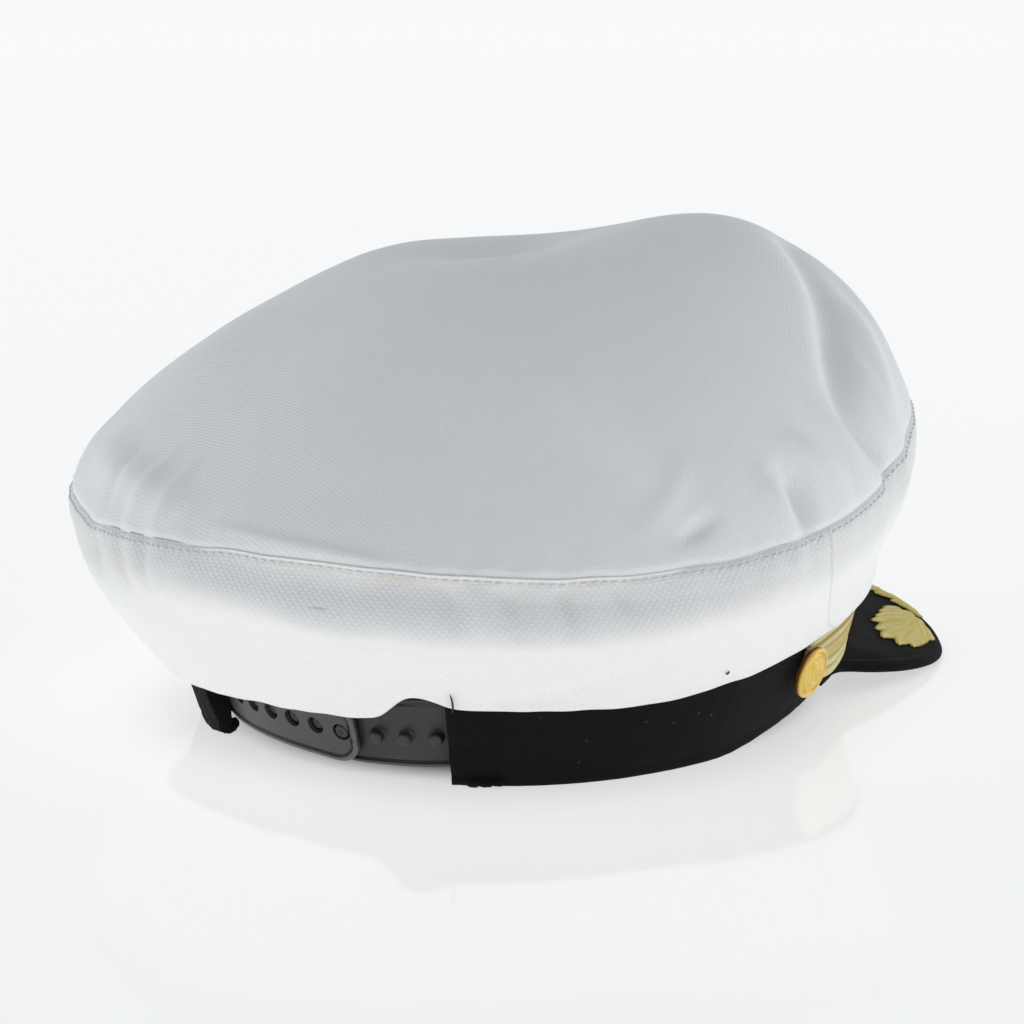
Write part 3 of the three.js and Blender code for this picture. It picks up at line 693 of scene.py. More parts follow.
def canvas_material(name, tone, pitch, contrast, rib, marks=(), painted_lower_light=None):
    """White cotton canvas. Marks are faint spots: their place on the map, radii, colour and strength.

    Painted lower light says how far down the map the cloth turns from its tone to a whiter one, and that
    tone: painted light where the side panel faces the lit table below, with its darker tone above as painted
    shade under the seam.
    """
    material, tree, shader = new_material(
        name, Roughness=0.88, Sheen_Weight=0.12, Sheen_Roughness=0.5, Specular_IOR_Level=0.25
    )
    place, across, along = map_axes(tree)
    uneven = maths(tree, "MULTIPLY_ADD", noise_of(tree, place, 0.11, 2.0), 1.2, along)
    height = weave(tree, across, uneven, 0.92 * pitch, pitch, rib)

    # Darker between the threads than on them: painted shade in the weave's hollows.
    def woven(middle):
        low, high = middle - 12 * contrast, min(255, middle + 10 * contrast)
        return tinted(tree, height, grey(low), grey(high))

    patchy = maths(tree, "MULTIPLY", noise_of(tree, place, 0.03, 4.0), 0.5)
    shade = tinted(tree, patchy, woven(tone), grey(tone - 1))
    # Painted light: lower down, the side panel turns from its darker tone, painted shade under the seam, to a
    # whiter one lit from the table below.
    if painted_lower_light:
        start, end, lit_tone = painted_lower_light
        share = ranged(tree, along, start, end, shape="SMOOTHSTEP")
        shade = tinted(tree, share, shade, woven(lit_tone))
    for middle, radii, tint, strength in marks:
        uneven_spot = noise_of(tree, place, 0.5, 3.0)
        blotch = maths(tree, "MULTIPLY", spot(tree, place, middle, radii), uneven_spot)
        shade = tinted(tree, maths(tree, "MULTIPLY", blotch, strength), shade, tint)
    tree.links.new(shade, shader.inputs["Base Color"])
    fibre = noise_of(tree, place, 2.2, 4.0)
    bumped(tree, shader, maths(tree, "MULTIPLY_ADD", fibre, 0.35, height), 0.2 * contrast * MM)
    return material


def thread_material(name, tint, roughness=0.7, metallic=0.0):
    """Twisted thread: its strands run round it at a slant."""
    material, tree, shader = new_material(name, Roughness=roughness, Metallic=metallic)
    _, across, along = map_axes(tree)
    strands = wave(tree, maths(tree, "ADD", across, along), 0.55)
    share = maths(tree, "MULTIPLY_ADD", strands, 0.5, 0.5)
    shade = tinted(tree, share, scaled(tint, 0.86), scaled(tint, 1.12))
    tree.links.new(shade, shader.inputs["Base Color"])
    bumped(tree, shader, strands, 0.04 * MM)
    return material


def black_cloth_material(name, dark, light, lint, pitch):
    """Matt black cloth with a fine nap, and pale lint here and there."""
    material, tree, shader = new_material(
        name, Roughness=0.95, Sheen_Weight=0.05, Sheen_Roughness=0.4, Specular_IOR_Level=0.08
    )
    place, across, along = map_axes(tree)
    height = weave(tree, across, along, pitch, pitch, 0.4)
    nap = noise_of(tree, place, 1.4, 5.0, 0.7)
    # Darker between the raised threads than on them: painted shade in the weave's hollows, varied at random
    # by the nap.
    raised = maths(tree, "MULTIPLY_ADD", height, 0.5, 0.5)
    shade = tinted(tree, maths(tree, "MULTIPLY", nap, raised), dark, light)
    patches = noise_of(tree, place, 0.06, 3.0)
    shade = tinted(tree, maths(tree, "MULTIPLY", patches, 0.35), shade, light)
    cells = node(tree, "TexVoronoi", {"Vector": place, "Scale": 0.16}, feature="F1")
    speck = ranged(tree, cells, 0.085, 0.03)
    ragged = ranged(tree, noise_of(tree, place, 2.5), 0.5, 0.62)
    amount = maths(tree, "MULTIPLY", maths(tree, "MULTIPLY", speck, ragged), lint)
    tree.links.new(tinted(tree, amount, shade, colour(150, 148, 142)), shader.inputs["Base Color"])
    bumped(tree, shader, maths(tree, "MULTIPLY_ADD", height, 0.3, nap), 0.2 * MM)
    return material


def plastic_material(name, tint, rim_highlight):
    """Satin moulded plastic with faint flow marks, painted near black as shade in the groove inside its rim
    and paler along the rim as a painted highlight.
    """
    material, tree, shader = new_material(name, Roughness=0.42, Specular_IOR_Level=0.5)
    place, *_ = map_axes(tree)
    haze = noise_of(tree, place, 0.18, 4.0)
    shade = tinted(tree, haze, tint, scaled(tint, 1.35))
    from_outline = split(tree, node(tree, "UVMap", uv_map="rim"))[0]
    # Painted shade: near black in the groove inside the rim.
    groove_shade = ranged(tree, from_outline, 2.1, 1.85)
    shade = tinted(tree, maths(tree, "MULTIPLY", groove_shade, 0.8), shade, (0.004, 0.004, 0.004, 1.0))
    # Painted highlight: paler along the edge of the rim, where light catches it.
    shade = tinted(tree, ranged(tree, from_outline, 1.3, 1.1), shade, rim_highlight)
    tree.links.new(shade, shader.inputs["Base Color"])
    tree.links.new(ranged(tree, haze, 0.0, 1.0, 0.34, 0.5), shader.inputs["Roughness"])
    bumped(tree, shader, noise_of(tree, place, 3.0, 3.0), 0.03 * MM, 0.6)
    return material


def braid_material():
    """Gold braid: pale raised cords at its edges with brown lines between, and a woven middle."""
    material, tree, shader = new_material("gold_braid_lurex", Roughness=0.45, Metallic=0.3)
    place, across, along = map_axes(tree)
    pale, brown, gold = colour(236, 228, 172), colour(170, 138, 70), colour(216, 198, 126)
    stops = (
        (0.0, pale), (0.11, pale), (0.15, brown), (0.19, brown), (0.23, pale), (0.31, pale), (0.35, brown),
        (0.4, gold), (0.5, gold),
    )
    mirrored = maths(tree, "PINGPONG", maths(tree, "DIVIDE", along, BRAID_WIDTH), 0.5)
    glints = maths(tree, "MULTIPLY", noise_of(tree, place, 1.6, 2.0), 0.5)
    shade = tinted(tree, glints, ramp(tree, mirrored, stops), colour(196, 172, 100))
    tree.links.new(shade, shader.inputs["Base Color"])
    twist = wave(tree, maths(tree, "ADD", across, maths(tree, "MULTIPLY", along, 1.2)), 0.5)
    bumped(tree, shader, twist, 0.06 * MM)
    return material


def gilt_material():
    """Pressed gilt metal, satin and a little worn, with its back painted dark brown as the shade on the
    shadowed side of its rim.
    """
    material, tree, shader = new_material("gilt", Roughness=0.4, Metallic=0.6)
    place, _, along = map_axes(tree)
    cloud = noise_of(tree, place, 0.35, 4.0)
    shade = tinted(tree, cloud, colour(238, 206, 110), colour(220, 183, 88))
    # Painted shade: the back of the button, past its rim on the map, is dark brown.
    edge = ranged(tree, along, BUTTON_RADIUS, BUTTON_RADIUS + 1)
    shade = tinted(tree, edge, shade, colour(150, 98, 38))
    tree.links.new(shade, shader.inputs["Base Color"])
    tree.links.new(ranged(tree, cloud, 0.0, 1.0, 0.26, 0.46), shader.inputs["Roughness"])
    bumped(tree, shader, noise_of(tree, place, 2.0, 4.0), 0.05 * MM, 0.7)
    return material


# The crown


def crown_point(turn, place):
    """The crown's smooth outer face."""
    turn, place = np.broadcast_arrays(np.asarray(turn, float), np.asarray(place, float))
    row = {name: table_value(CROWN, name, turn, 360) for name in CROWN if name != "turn"}
    top_place = np.minimum(place, 1)
    reach = row["seam_reach"] * top_place
    summit = SUMMIT_UP - SUMMIT_LEAN * reach * np.cos(np.radians(turn))
    edge = DOME_EDGE + BACK_EDGE * bump_at(np.mod(turn + 180, 360), 180 + BACK_TURN, BACK_SWEEP)
    drop = 1 - (1 - top_place ** row["squareness"]) ** edge
    plan = at(turn, reach, 0.0)
    swell = 0
    for spot_turn, spot_reach, spread, rise in zip(*TOP_SWELLS.values()):
        away = np.linalg.norm(plan - at(spot_turn, spot_reach, 0.0), axis=-1) / spread
        swell = swell + rise * np.exp(-away * away)
    top = at(turn, reach, lerp(summit, row["seam_up"], drop) + swell * (1 - top_place**6))

    edge_up = band_edge_up(turn)
    over_band = lambda up: band_reach(turn, up - edge_up) + GAP + HEM_CLOTH + HEM_EASE
    hem_reach = over_band(row["hem_up"])
    depth = row["seam_up"] - row["hem_up"]
    handles = (
        (row["seam_reach"], row["seam_up"]),
        (row["seam_reach"] + row["bulge"], row["seam_up"] - depth * SHOULDER),
        (lerp(hem_reach, row["seam_reach"], WAIST_REACH) + row["belly"], row["hem_up"] + depth * WAIST),
        (hem_reach, row["hem_up"]),
    )
    f = np.clip(place - 1, 0, 1)
    weights = ((1 - f) ** 3, 3 * f * (1 - f) ** 2, 3 * f**2 * (1 - f), f**3)
    side_reach = sum(w * handle[0] for w, handle in zip(weights, handles))
    side_up = sum(w * handle[1] for w, handle in zip(weights, handles))
    band_top = edge_up + BAND_HEIGHT
    least = np.where(side_up < band_top + BAND_TOP_ROOM, over_band(np.minimum(side_up, band_top)), 0)
    spread = HEM_SPREAD * bump_at(np.mod(turn, 360), SPREAD_TURN, SPREAD_SWEEP) * f**2
    side = at(turn, np.maximum(side_reach, least) + spread, side_up)
    return np.where((place <= 1)[..., None], top, side)


def crown_frame(turn, place, top):
    """Outward directions of the smooth crown, and those down its face, away from its middle."""
    step = 0.012
    low, high = (0.001, 1) if top else (1, 2)
    after, before = (crown_point(turn, np.clip(place + ahead, low, high)) for ahead in (step, -step))
    down = after - before
    middle = np.maximum(place, 0.05)
    around = crown_point(turn + 0.7, middle) - crown_point(turn - 0.7, middle)
    return unit(np.cross(down, around)), unit(down)


def fold_rise(points, folds):
    """How far the folds lift the cloth. Each fades out towards its ends."""
    rise = np.zeros(points.shape[:-1])
    share = np.linspace(0, 1, FOLD_STEPS)
    start, middle, end = (1 - share) ** 2, 2 * share * (1 - share), share**2
    for fold in folds:
        turn, place = (
            start * fold[key + "0"] + middle * fold[key + "1"] + end * fold[key + "2"]
            for key in ("turn", "place")
        )
        route = crown_point(turn, place)
        ahead = np.diff(route, axis=0)
        offset = points[..., None, :] - route[:-1]
        along = np.clip((offset * ahead).sum(axis=-1) / (ahead * ahead).sum(axis=-1), 0, 1)
        away = np.linalg.norm(offset - along[..., None] * ahead, axis=-1)
        nearest = away.argmin(axis=-1)[..., None]
        passed = (nearest + np.take_along_axis(along, nearest, axis=-1))[..., 0] / len(ahead)
        taper = np.sin(np.pi * lerp(0.14, 0.86, passed))
        rise += fold["rise"] * taper * bump_at(away.min(axis=-1), 0, fold["width"])
    return rise


# Distance along the seam for each turn
seam_turns = np.linspace(-180, 540, 2881)
seam_line = crown_point(seam_turns, 1.0)
seam_run = run_along(seam_line, 0)

# Where the side panel is drawn into puckers under the seam
PUCKERS = columns(
    "turn spread strength", (-17, 9, 0.5), (34, 9, 0.55), (72, 8, 0.4), (100, 8, 0.5), (300, 14, 0.4)
)


def pucker_rise(turn, from_seam):
    """Short waves of the cloth that stand off the seam."""
    run = np.interp(turn, seam_turns, seam_run)
    strength = 0.16 + sum(
        s * bump_at(np.mod(turn - t + 180, 360) - 180, 0, w) for t, w, s in zip(*PUCKERS.values())
    )
    waves = np.sin(2 * np.pi * (run / 11.5 + 0.4 * np.sin(run / 31)))
    return strength * waves * np.exp(-from_seam / 8) * smooth_step(0, 3, from_seam)


# How the creases of the top panel and a slight waviness pull the seam off its smooth line
seam_outward, _ = crown_frame(seam_turns, np.ones_like(seam_turns), True)
seam_pull = seam_outward * fold_rise(seam_line, TOP_FOLDS)[:, None]
seam_wave = 0.5 * unit(seam_line * (1, 1, 0)) * noise(seam_line, 12)[:, None]
seam_wave[:, 2] = 0.6 * noise(seam_line + 90, 13)


def seam_shift(turn, shift):
    """A shift of the seam at each turn."""
    return np.stack([np.interp(turn, seam_turns, shift[:, k]) for k in range(3)], axis=-1)


def crown_face(turn, place, top):
    """The crown's outer face with its folds, its outward directions and its distances from seam and hem."""
    base = crown_point(turn, place)
    normal, down = crown_frame(turn, place, top)
    run = run_along(base, 1)
    if top:
        from_seam = run[:, -1:] - run
        from_hem = np.full_like(from_seam, 1e3)
        rise = fold_rise(base, TOP_FOLDS)
        rise -= 0.5 * bump_at(from_seam, 0, 1)
        rise += 0.6 * pucker_rise(turn, from_seam)
        rise += (0.5 * noise(base, 34) + 0.22 * noise(base + 50, 15)) * smooth_step(0, 20, from_seam)
        pull = -SEAM_EDGE * np.exp(-from_seam / 2)
        shift = seam_shift(turn, seam_wave)
    else:
        from_seam = run
        from_hem = run[:, -1:] - run
        rise = fold_rise(base, SIDE_FOLDS) * smooth_step(0, 5, from_hem)
        rise += 0.2 * (1 - smooth_step(ALLOWANCE - 1.2, ALLOWANCE + 1.2, from_seam))
        rise -= 0.9 * bump_at(from_seam, 0, 1) + 0.25 * bump_at(from_seam, STITCH_LINE, 0.5)
        rise += pucker_rise(turn, from_seam)
        rise += (0.45 * noise(base, 30) + 0.2 * noise(base + 50, 13)) * smooth_step(2, 8, from_seam)
        rise -= 0.3 * bump_at(from_hem, HEM_ROLL, 0.7)
        rise *= smooth_step(-0.5, 1.5, from_hem)
        pull = SEAM_EDGE * np.exp(-from_seam / 2) - (HEM_CLOTH / 2) * np.exp(-from_hem / 3)
        pull += 0.7 * noise(base * (1, 1, 0) + 20, 8) * np.exp(-from_hem / 6)
        shift = seam_shift(turn, seam_pull + seam_wave)
    shift = shift * bump_at(from_seam, 0, SEAM_REACH)[..., None]
    points = base + shift + normal * rise[..., None] + down * pull[..., None]
    return points, normal, down, from_seam, from_hem


def crown_sheet(name, turn, place, top, inner_rows, material):
    """A panel of the crown: its outer face, its round edges and its inner face."""
    points, normal, down, from_seam, from_hem = crown_face(turn, place, top)
    thick = lerp(CLOTH, HEM_CLOTH, 1 - smooth_step(6, 14, from_hem))
    back = points - normal * thick[..., None]
    if not top:
        from_start = run_along(points, 0)
        from_end = np.minimum(from_start, from_start[-1:] - from_start)
        points = points - normal * (0.05 * bump_at(from_end, 0, 0.8))[..., None]
    kept = np.unique([1, *np.linspace(0, points.shape[1] - 1, inner_rows).round().astype(int)])[::-1]
    parts = [points, edge_points(points[:, -1], back[:, -1], down[:, -1]), back[:, kept]]
    if not top:
        parts.append(edge_points(back[:, 0], points[:, 0], -down[:, 0]))
    loops = np.concatenate(parts, axis=1)
    if top:
        grain = math.radians(CANVAS_GRAIN)
        plan = loops[..., :2]
        away = np.linalg.norm(plan, axis=-1)
        run = away.copy()
        run[:, : points.shape[1]] = from_seam[:, :1] - from_seam
        spread = plan * ((away + run) / 2 / np.maximum(away, 1e-6))[..., None]
        across = spread[..., 0] * math.cos(grain) + spread[..., 1] * math.sin(grain)
        along = spread[..., 1] * math.cos(grain) - spread[..., 0] * math.sin(grain)
    else:
        across = np.broadcast_to(np.interp(turn[:, :1], seam_turns, seam_run), loops.shape[:2])
        along = run_along(loops, 1)
    uv = np.stack([across, along], axis=-1)
    piece = loft(name + "_cloth", loops, uv, material, top, replaces=[name], slot="white_canvas")
    return piece, points, normal, from_seam


# Two rings close together at the middle keep its shading flat
TOP_PLACES = np.concatenate([[0.0003, 0.0008], 1 - (1 - np.linspace(0, 1, 96)[1:]) ** 1.9])
TOP_TURNS = np.linspace(0, 360, 480, endpoint=False)
SIDE_PLACES = 1 + np.linspace(0, 1, 84) ** 1.15


def side_turns(back, count):
    """Turns over a side panel, whose upright seams sweep towards the peak."""
    clearance = math.degrees(PANEL_GAP / 2 / BAND_HALF_LENGTH)
    seam_turn = PANEL_SEAM_TURN + PANEL_SEAM_SWEEP * (SIDE_PLACES - 1) ** 2
    half = seam_turn if back else 180 - seam_turn
    share = np.linspace(-1, 1, count)[:, None]
    return (0 if back else 180) + share * (half - clearance)[None, :]


def at_distance(points, distance, wanted):
    """The points of a grid's rows at a distance along them."""
    return np.array(
        [[np.interp(wanted, along, row[:, k]) for k in range(3)] for row, along in zip(points, distance)]
    )


def stitches(name, line, normals, material):
    """A row of stitches along a line of points."""
    run = run_along(line, 0)
    starts = np.arange(STITCH_PITCH / 2, run[-1] - STITCH_LENGTH, STITCH_PITCH)
    share = np.linspace(0, 1, 6)
    places = starts[:, None] + share[None, :] * STITCH_LENGTH
    sample = lambda values: np.stack([np.interp(places, run, values[:, k]) for k in range(3)], axis=-1)
    outward = unit(sample(normals))
    lift = STITCH_RADIUS * (1.15 * np.sin(np.pi * share) ** 0.5 - 0.35)
    paths = sample(line) + outward * lift[None, :, None]
    return tubes(name, paths, outward, STITCH_RADIUS, material)


def make_crown():
    """The top panel, the two side panels and the stitches under the seam."""
    canvas_top = canvas_material("canvas_top", 245, 0.92, 0.5, 0.45)
    soil_run, stain_run = (float(np.interp(turn, seam_turns, seam_run)) for turn in (SOIL_TURN, STAIN_TURN))
    marks = (
        ((soil_run, 12.6), (3.2, 0.6), colour(146, 134, 118), 0.7),
        ((stain_run, 2.5), (8, 2.5), colour(232, 206, 186), 0.5),
    )
    # The side panel is painted darker under the seam, as shade, and turns whiter from 8 to 23 mm down the
    # map, as painted light from the lit table.
    canvas_side = canvas_material("canvas_side", 236, 1.0, 0.8, 0.22, marks, (8, 23, 258))
    turn, place = np.meshgrid(TOP_TURNS, TOP_PLACES, indexing="ij")
    top, *_ = crown_sheet("crown_top", turn, place, True, 34, canvas_top)
    sides = []
    for label, back, count in (("back", True, 300), ("front", False, 340)):
        turn = side_turns(back, count)
        place = np.broadcast_to(SIDE_PLACES, turn.shape)
        sides.append(crown_sheet("crown_side_" + label, turn, place, False, 24, canvas_side))
    cotton = thread_material("cotton_thread", colour(240, 241, 240))
    for label, (_, points, normal, from_seam) in zip(("back", "front"), sides):
        line = at_distance(points, from_seam, STITCH_LINE)
        directions = at_distance(normal, from_seam, STITCH_LINE)
        row = stitches("seam_stitches_" + label, line, directions, cotton)
    return top, [panel for panel, *_ in sides]


# The band


def make_band():
    """The black band, open at the back, with its ends folded into thicker lumps."""
    cloth = black_cloth_material("band_cloth", grey(12), grey(30), 0.5, 0.5)
    fine = np.linspace(0, BAND_END_TURN, 26)
    left_end = 360 - BAND_OPENING
    middle = np.linspace(BAND_OPENING + BAND_END_TURN, left_end - BAND_END_TURN, 330)
    turns = np.concatenate([BAND_OPENING + fine[:-1], middle[:-1], left_end - BAND_END_TURN + fine])
    heights = np.linspace(0.6, BAND_HEIGHT - 0.6, 26)
    turn, height = np.meshgrid(turns, heights, indexing="ij")
    per_degree = math.radians(BAND_HALF_LENGTH)
    from_end = np.minimum(turn - BAND_OPENING, left_end - turn) * per_degree
    folded = 1 - smooth_step(BAND_END_LENGTH - 1.5, BAND_END_LENGTH + 1, from_end)
    end_fold = BAND_END_FOLD * bump_at(from_end, 0, 1.8) * smooth_step(0, 12, height)
    thick = lerp(BAND_CLOTH, BAND_END_CLOTH, folded) + end_fold
    from_left_end = (left_end - turn) * per_degree
    lift = BAND_END_LIFT * bump_at(from_left_end, 0, 6) * (1 - height / BAND_HEIGHT)
    edge = band_edge_up(turn) + lift
    place = at(turn, 100.0, height)
    out = BAND_SPREAD * bump_at(np.minimum(turn, SPREAD_TURN), SPREAD_TURN, SPREAD_SWEEP)
    fuzz = 0.1 * noise(place, 2.2) + 0.16 * noise(place, 9) + out
    rough_end = 0.35 * folded * noise(place + 7, 3) + 0.3 * bump_at(from_end, 0, 4) * noise(place + 3, 1.3)
    rise = fuzz + rough_end - 0.35 * bump_at(from_end, BAND_END_LENGTH + 0.8, 0.8)
    rise -= 0.25 * bump_at(height, 3, 0.5)
    front = at(turn, band_reach(turn, height) + rise, edge + height)
    back = at(turn, band_reach(turn, height) - thick + 0.6 * out, edge + height)
    loops = upright_loops(front, back)
    loops[..., 2] = np.maximum(loops[..., 2], 0)
    along = run_along(loops, 1)
    run = np.broadcast_to(np.radians(turns)[:, None] * BAND_MAP_RADIUS, along.shape)
    uv = np.stack([run, along], axis=-1)
    band = loft("band_cloth", loops, uv, cloth, replaces=["band"], slot="black_cloth")
    make_band_flaps(cloth)
    make_band_lumps(cloth)
    return band


def make_band_flaps(cloth):
    """The inner layers of the band's folded ends, behind the strap's sewn ends."""
    for label, side, low_edge in (("right", 1, 1.2), ("left", -1, 8)):
        turns = side * np.linspace(BAND_OPENING + 0.2, BAND_OPENING + 6.5, 30)
        heights = np.linspace(low_edge, BAND_HEIGHT - 2, 16)
        turn, height = np.meshgrid(turns, heights, indexing="ij")
        wave_out = 0.3 * noise(at(turn, 100.0, height), 4)
        set_back = FLAP_SET_BACK + PEG_SET_BACK - STRAP_SET_BACK if side > 0 else FLAP_SET_BACK
        front = at(turn, band_reach(turn, height) - set_back + wave_out, height)
        back = at(turn, band_reach(turn, height) - set_back - FLAP_CLOTH + wave_out, height)
        loops = upright_loops(front, back)
        uv = np.stack([loops[..., 0], loops[..., 2]], axis=-1)
        loft("band_flap_" + label, loops, uv, cloth, slot="black_cloth")


# Where the band's ends are folded up into small lumps: radii round, out and up, and how far in from its face
LUMPS = columns(
    "turn up round out high inset",
    (25.4, 1.5, 1.4, 0.8, 1.3, 0.3),
    (28.0, 1.3, 2.6, 2.8, 1.4, 0.3),
    (30.0, 1.2, 2.2, 3.2, 1.3, 0.3),
    (31.8, 1.2, 1.6, 2.6, 1.2, 0.3),
    (-25.4, 1.8, 1.8, 2.0, 2.0, 2.0),
    (-25.6, 2.6, 1.4, 1.6, 1.8, 3.6),
    (-26.8, 1.7, 1.8, 1.7, 1.8, 0.7),
)


def ball(middle, axes, radii):
    """Points and faces of a ball stretched along three axes and roughened."""
    angles = np.linspace(0, 2 * np.pi, BALL_SIDES, endpoint=False)
    around, up = np.meshgrid(angles, np.linspace(0, np.pi, BALL_ROWS), indexing="ij")
    local = np.stack([np.sin(up) * np.cos(around), np.sin(up) * np.sin(around), np.cos(up)], axis=-1)
    points = middle + (local * radii) @ axes
    points = points + (local @ axes) * (0.22 * noise(points, 1.6) + 0.2 * noise(points + 5, 0.7))[..., None]
    faces = []
    for i in range(BALL_SIDES):
        for j in range(BALL_ROWS - 1):
            a, b = i * BALL_ROWS + j, ((i + 1) % BALL_SIDES) * BALL_ROWS + j
            faces.append([a, a + 1, b + 1, b])
    return points.reshape(-1, 3), np.array(faces)


def make_band_lumps(cloth):
    points, faces = [], []
    for turn, up, around, out, high, inset in zip(*LUMPS.values()):
        axes = np.stack([at(turn + 90, 1.0, 0.0), at(turn, 1.0, 0.0), np.array([0, 0, 1.0])])
        middle = at(turn, float(band_reach(turn, up)) - inset, up)
        ball_points, ball_faces = ball(middle, axes, (around, out, high))
        faces += (ball_faces + len(points) * len(ball_points)).tolist()
        points.append(ball_points)
    points = np.concatenate(points)
    points[:, 2] = np.maximum(points[:, 2], 0)
    weld(make_piece("band_end_folds", points, faces, cloth, slot="black_cloth", uv=points[:, [0, 2]]))


# The peak and its leaves


def peak_point(turn, share, sunk=0.0):
    """The peak's outer face, from 0 at the band to 1 at the rim."""
    side = mirrored_turn(turn)
    sewn_up = PEAK_LIFT + PEAK_CLOTH
    inner = band_reach(turn, sewn_up - sunk) + PEAK_GAP
    rim = table_value(PEAK_RIM, "reach", side)
    rim_up = np.maximum(0, table_value(PEAK_RIM, "up", side)) + PEAK_CLOTH
    swell = PEAK_SWELL * np.clip((rim - inner) / PEAK_SWELL_WIDTH, 0, 1) * np.sin(np.pi * share)
    return at(turn, lerp(inner, rim, share), lerp(band_edge_up(turn) + sewn_up, rim_up, share) + swell - sunk)


def make_peak():
    """The peak, with ribs where its cloth is drawn to the band and a soft rolled edge."""
    cloth = black_cloth_material("peak_twill", colour(8, 10, 9), colour(22, 26, 24), 0.1, 0.42)
    tip = PEAK_RIM["turn"][0]
    turns = np.linspace(tip + 0.15, 360 - tip - 0.15, 260)
    shares = np.linspace(0, 1, 64) ** 0.9
    turn, share = np.meshgrid(turns, shares, indexing="ij")
    face = peak_point(turn, share)
    under = peak_point(turn, share, PEAK_CLOTH)
    along = run_along(face, 1)
    to_rim = along[:, -1:] - along
    wide = smooth_step(28, 40, along[:, -1:])
    ribs = 0.16 * np.sin(2 * np.pi * along / 1.7) * (1 - smooth_step(9, 15, along)) * wide
    roll = 0.3 * bump_at(to_rim, 1.6, 1.8) - 0.16 * bump_at(to_rim, 4.4, 1.2)
    cloth_rise = 0.05 * noise(face, 1.6) + 0.12 * noise(face, 8)
    outward = unit(face - under)
    rise = (ribs + roll + cloth_rise) * smooth_step(0, 6, along[:, -1:])
    face = face + outward * rise[..., None]
    tangent = unit(face[:, -1] - face[:, -2])
    pull = np.minimum(PEAK_CLOTH / 2, 0.35 * along[:, -1:])
    pulled = (np.exp(-to_rim / 2) * pull)[..., None]
    inward = np.broadcast_to(tangent[:, None, :], face.shape)
    face, under = face - inward * pulled, under - inward * pulled
    round_edge = edge_points(face[:, -1], under[:, -1], tangent * (pull / PEAK_CLOTH * 2), 7)
    loops = np.concatenate([face, round_edge, under[:, ::-3]], axis=1)
    loops[..., 2] = np.maximum(loops[..., 2], 0)
    run = run_along(loops, 1)
    away = np.broadcast_to(np.radians(turns)[:, None] * PEAK_MAP_RADIUS, run.shape)
    uv = np.stack([away, run], axis=-1)
    loft("peak_cloth", loops, uv, cloth, replaces=["peak"], slot="peak_cloth")


def over_peak(x, y, proud):
    """Points over the peak's outer face by their place in plan."""
    turn = np.degrees(np.arctan2(-x, y))
    inner = np.linalg.norm(peak_point(turn, 0.0)[..., :2], axis=-1)
    rim = np.linalg.norm(peak_point(turn, 1.0)[..., :2], axis=-1)
    points = peak_point(turn, (np.hypot(x, y) - inner) / (rim - inner))
    points[..., 2] += proud
    return points


def leaf_threads(leaf, pile, seed):
    """Satin stitches of one leaf, laid at a slant from its spine to both edges."""
    start = np.array([leaf["x"], leaf["y"]])
    ahead = np.array([leaf["tip_x"] - leaf["x"], leaf["tip_y"] - leaf["y"]])
    length = float(np.linalg.norm(ahead))
    ahead = ahead / length
    aside = np.array([-ahead[1], ahead[0]])
    count = int(length / THREAD_PITCH)
    jitter = np.random.default_rng(seed).uniform(-1, 1, (2, count))
    share = np.linspace(0.02, 0.98, count)
    paths = []
    for side in (-1, 1):
        end_share = np.clip(share + 0.13, 0, 1)
        half = leaf["width"] / 2 * np.maximum(np.sin(np.pi * lerp(0.12, 0.96, end_share)), 0.1)
        half = half * (1 + 0.05 * jitter[(side + 1) // 2])
        across = np.linspace(-0.12, 1, 5)
        forward = (share[:, None] + (end_share - share)[:, None] * np.maximum(across, 0)) * length
        sideways = side * half[:, None] * across
        plan = start + forward[..., None] * ahead + sideways[..., None] * aside
        lift = 0.85 + pile - 0.5 * np.maximum(across, 0) ** 2.2
        paths.append(over_peak(plan[..., 0], plan[..., 1], np.broadcast_to(lift, forward.shape)))
    return np.concatenate(paths)


def make_leaves():
    """The embroidered sprays on both sides of the peak."""
    gold = thread_material("gold_thread", colour(242, 222, 132), 0.5, 0.1)
    for spray, leaves in (("side", SIDE_LEAVES), ("front", FRONT_LEAVES)):
        right = np.concatenate([leaf_threads(leaf, 0.1 * (k % 3), 40 + k) for k, leaf in enumerate(leaves)])
        for label, mirror in (("right", 1), ("left", -1)):
            paths = right * np.array([mirror, 1, 1])
            normals = np.broadcast_to(np.array([0, 0, 1.0]), paths.shape)
            name = f"{spray}_leaves_{label}"
            options = {"replaces": [name], "slot": "gold_thread"}
            tubes(name + "_threads", paths, normals, THREAD_RADIUS, gold, **options)


# The braid and buttons


def braid_relief(across, run):
    """How proud the braid stands, by the distance from its lower edge and along it."""
    from_edge = np.minimum(across, BRAID_WIDTH - across)
    twist = 0.1 * np.sin(2 * np.pi * (run / 1.5 + across / 1.6))
    cord = lambda middle, half: np.sqrt(np.maximum(0, 1 - ((from_edge - middle) / half) ** 2))
    edge_cord = cord(0.95, 0.95)
    second = cord(3.4, 0.85)
    from_middle = np.abs(across - BRAID_WIDTH / 2)
    chevron = 0.5 + 0.5 * np.sin(2 * np.pi * (run / 1.9 + from_middle / 2.2))
    woven = smooth_step(4.3, 4.8, from_edge) * (0.25 + 0.28 * chevron)
    return edge_cord * (0.8 + twist) + second * (0.6 + twist) + woven


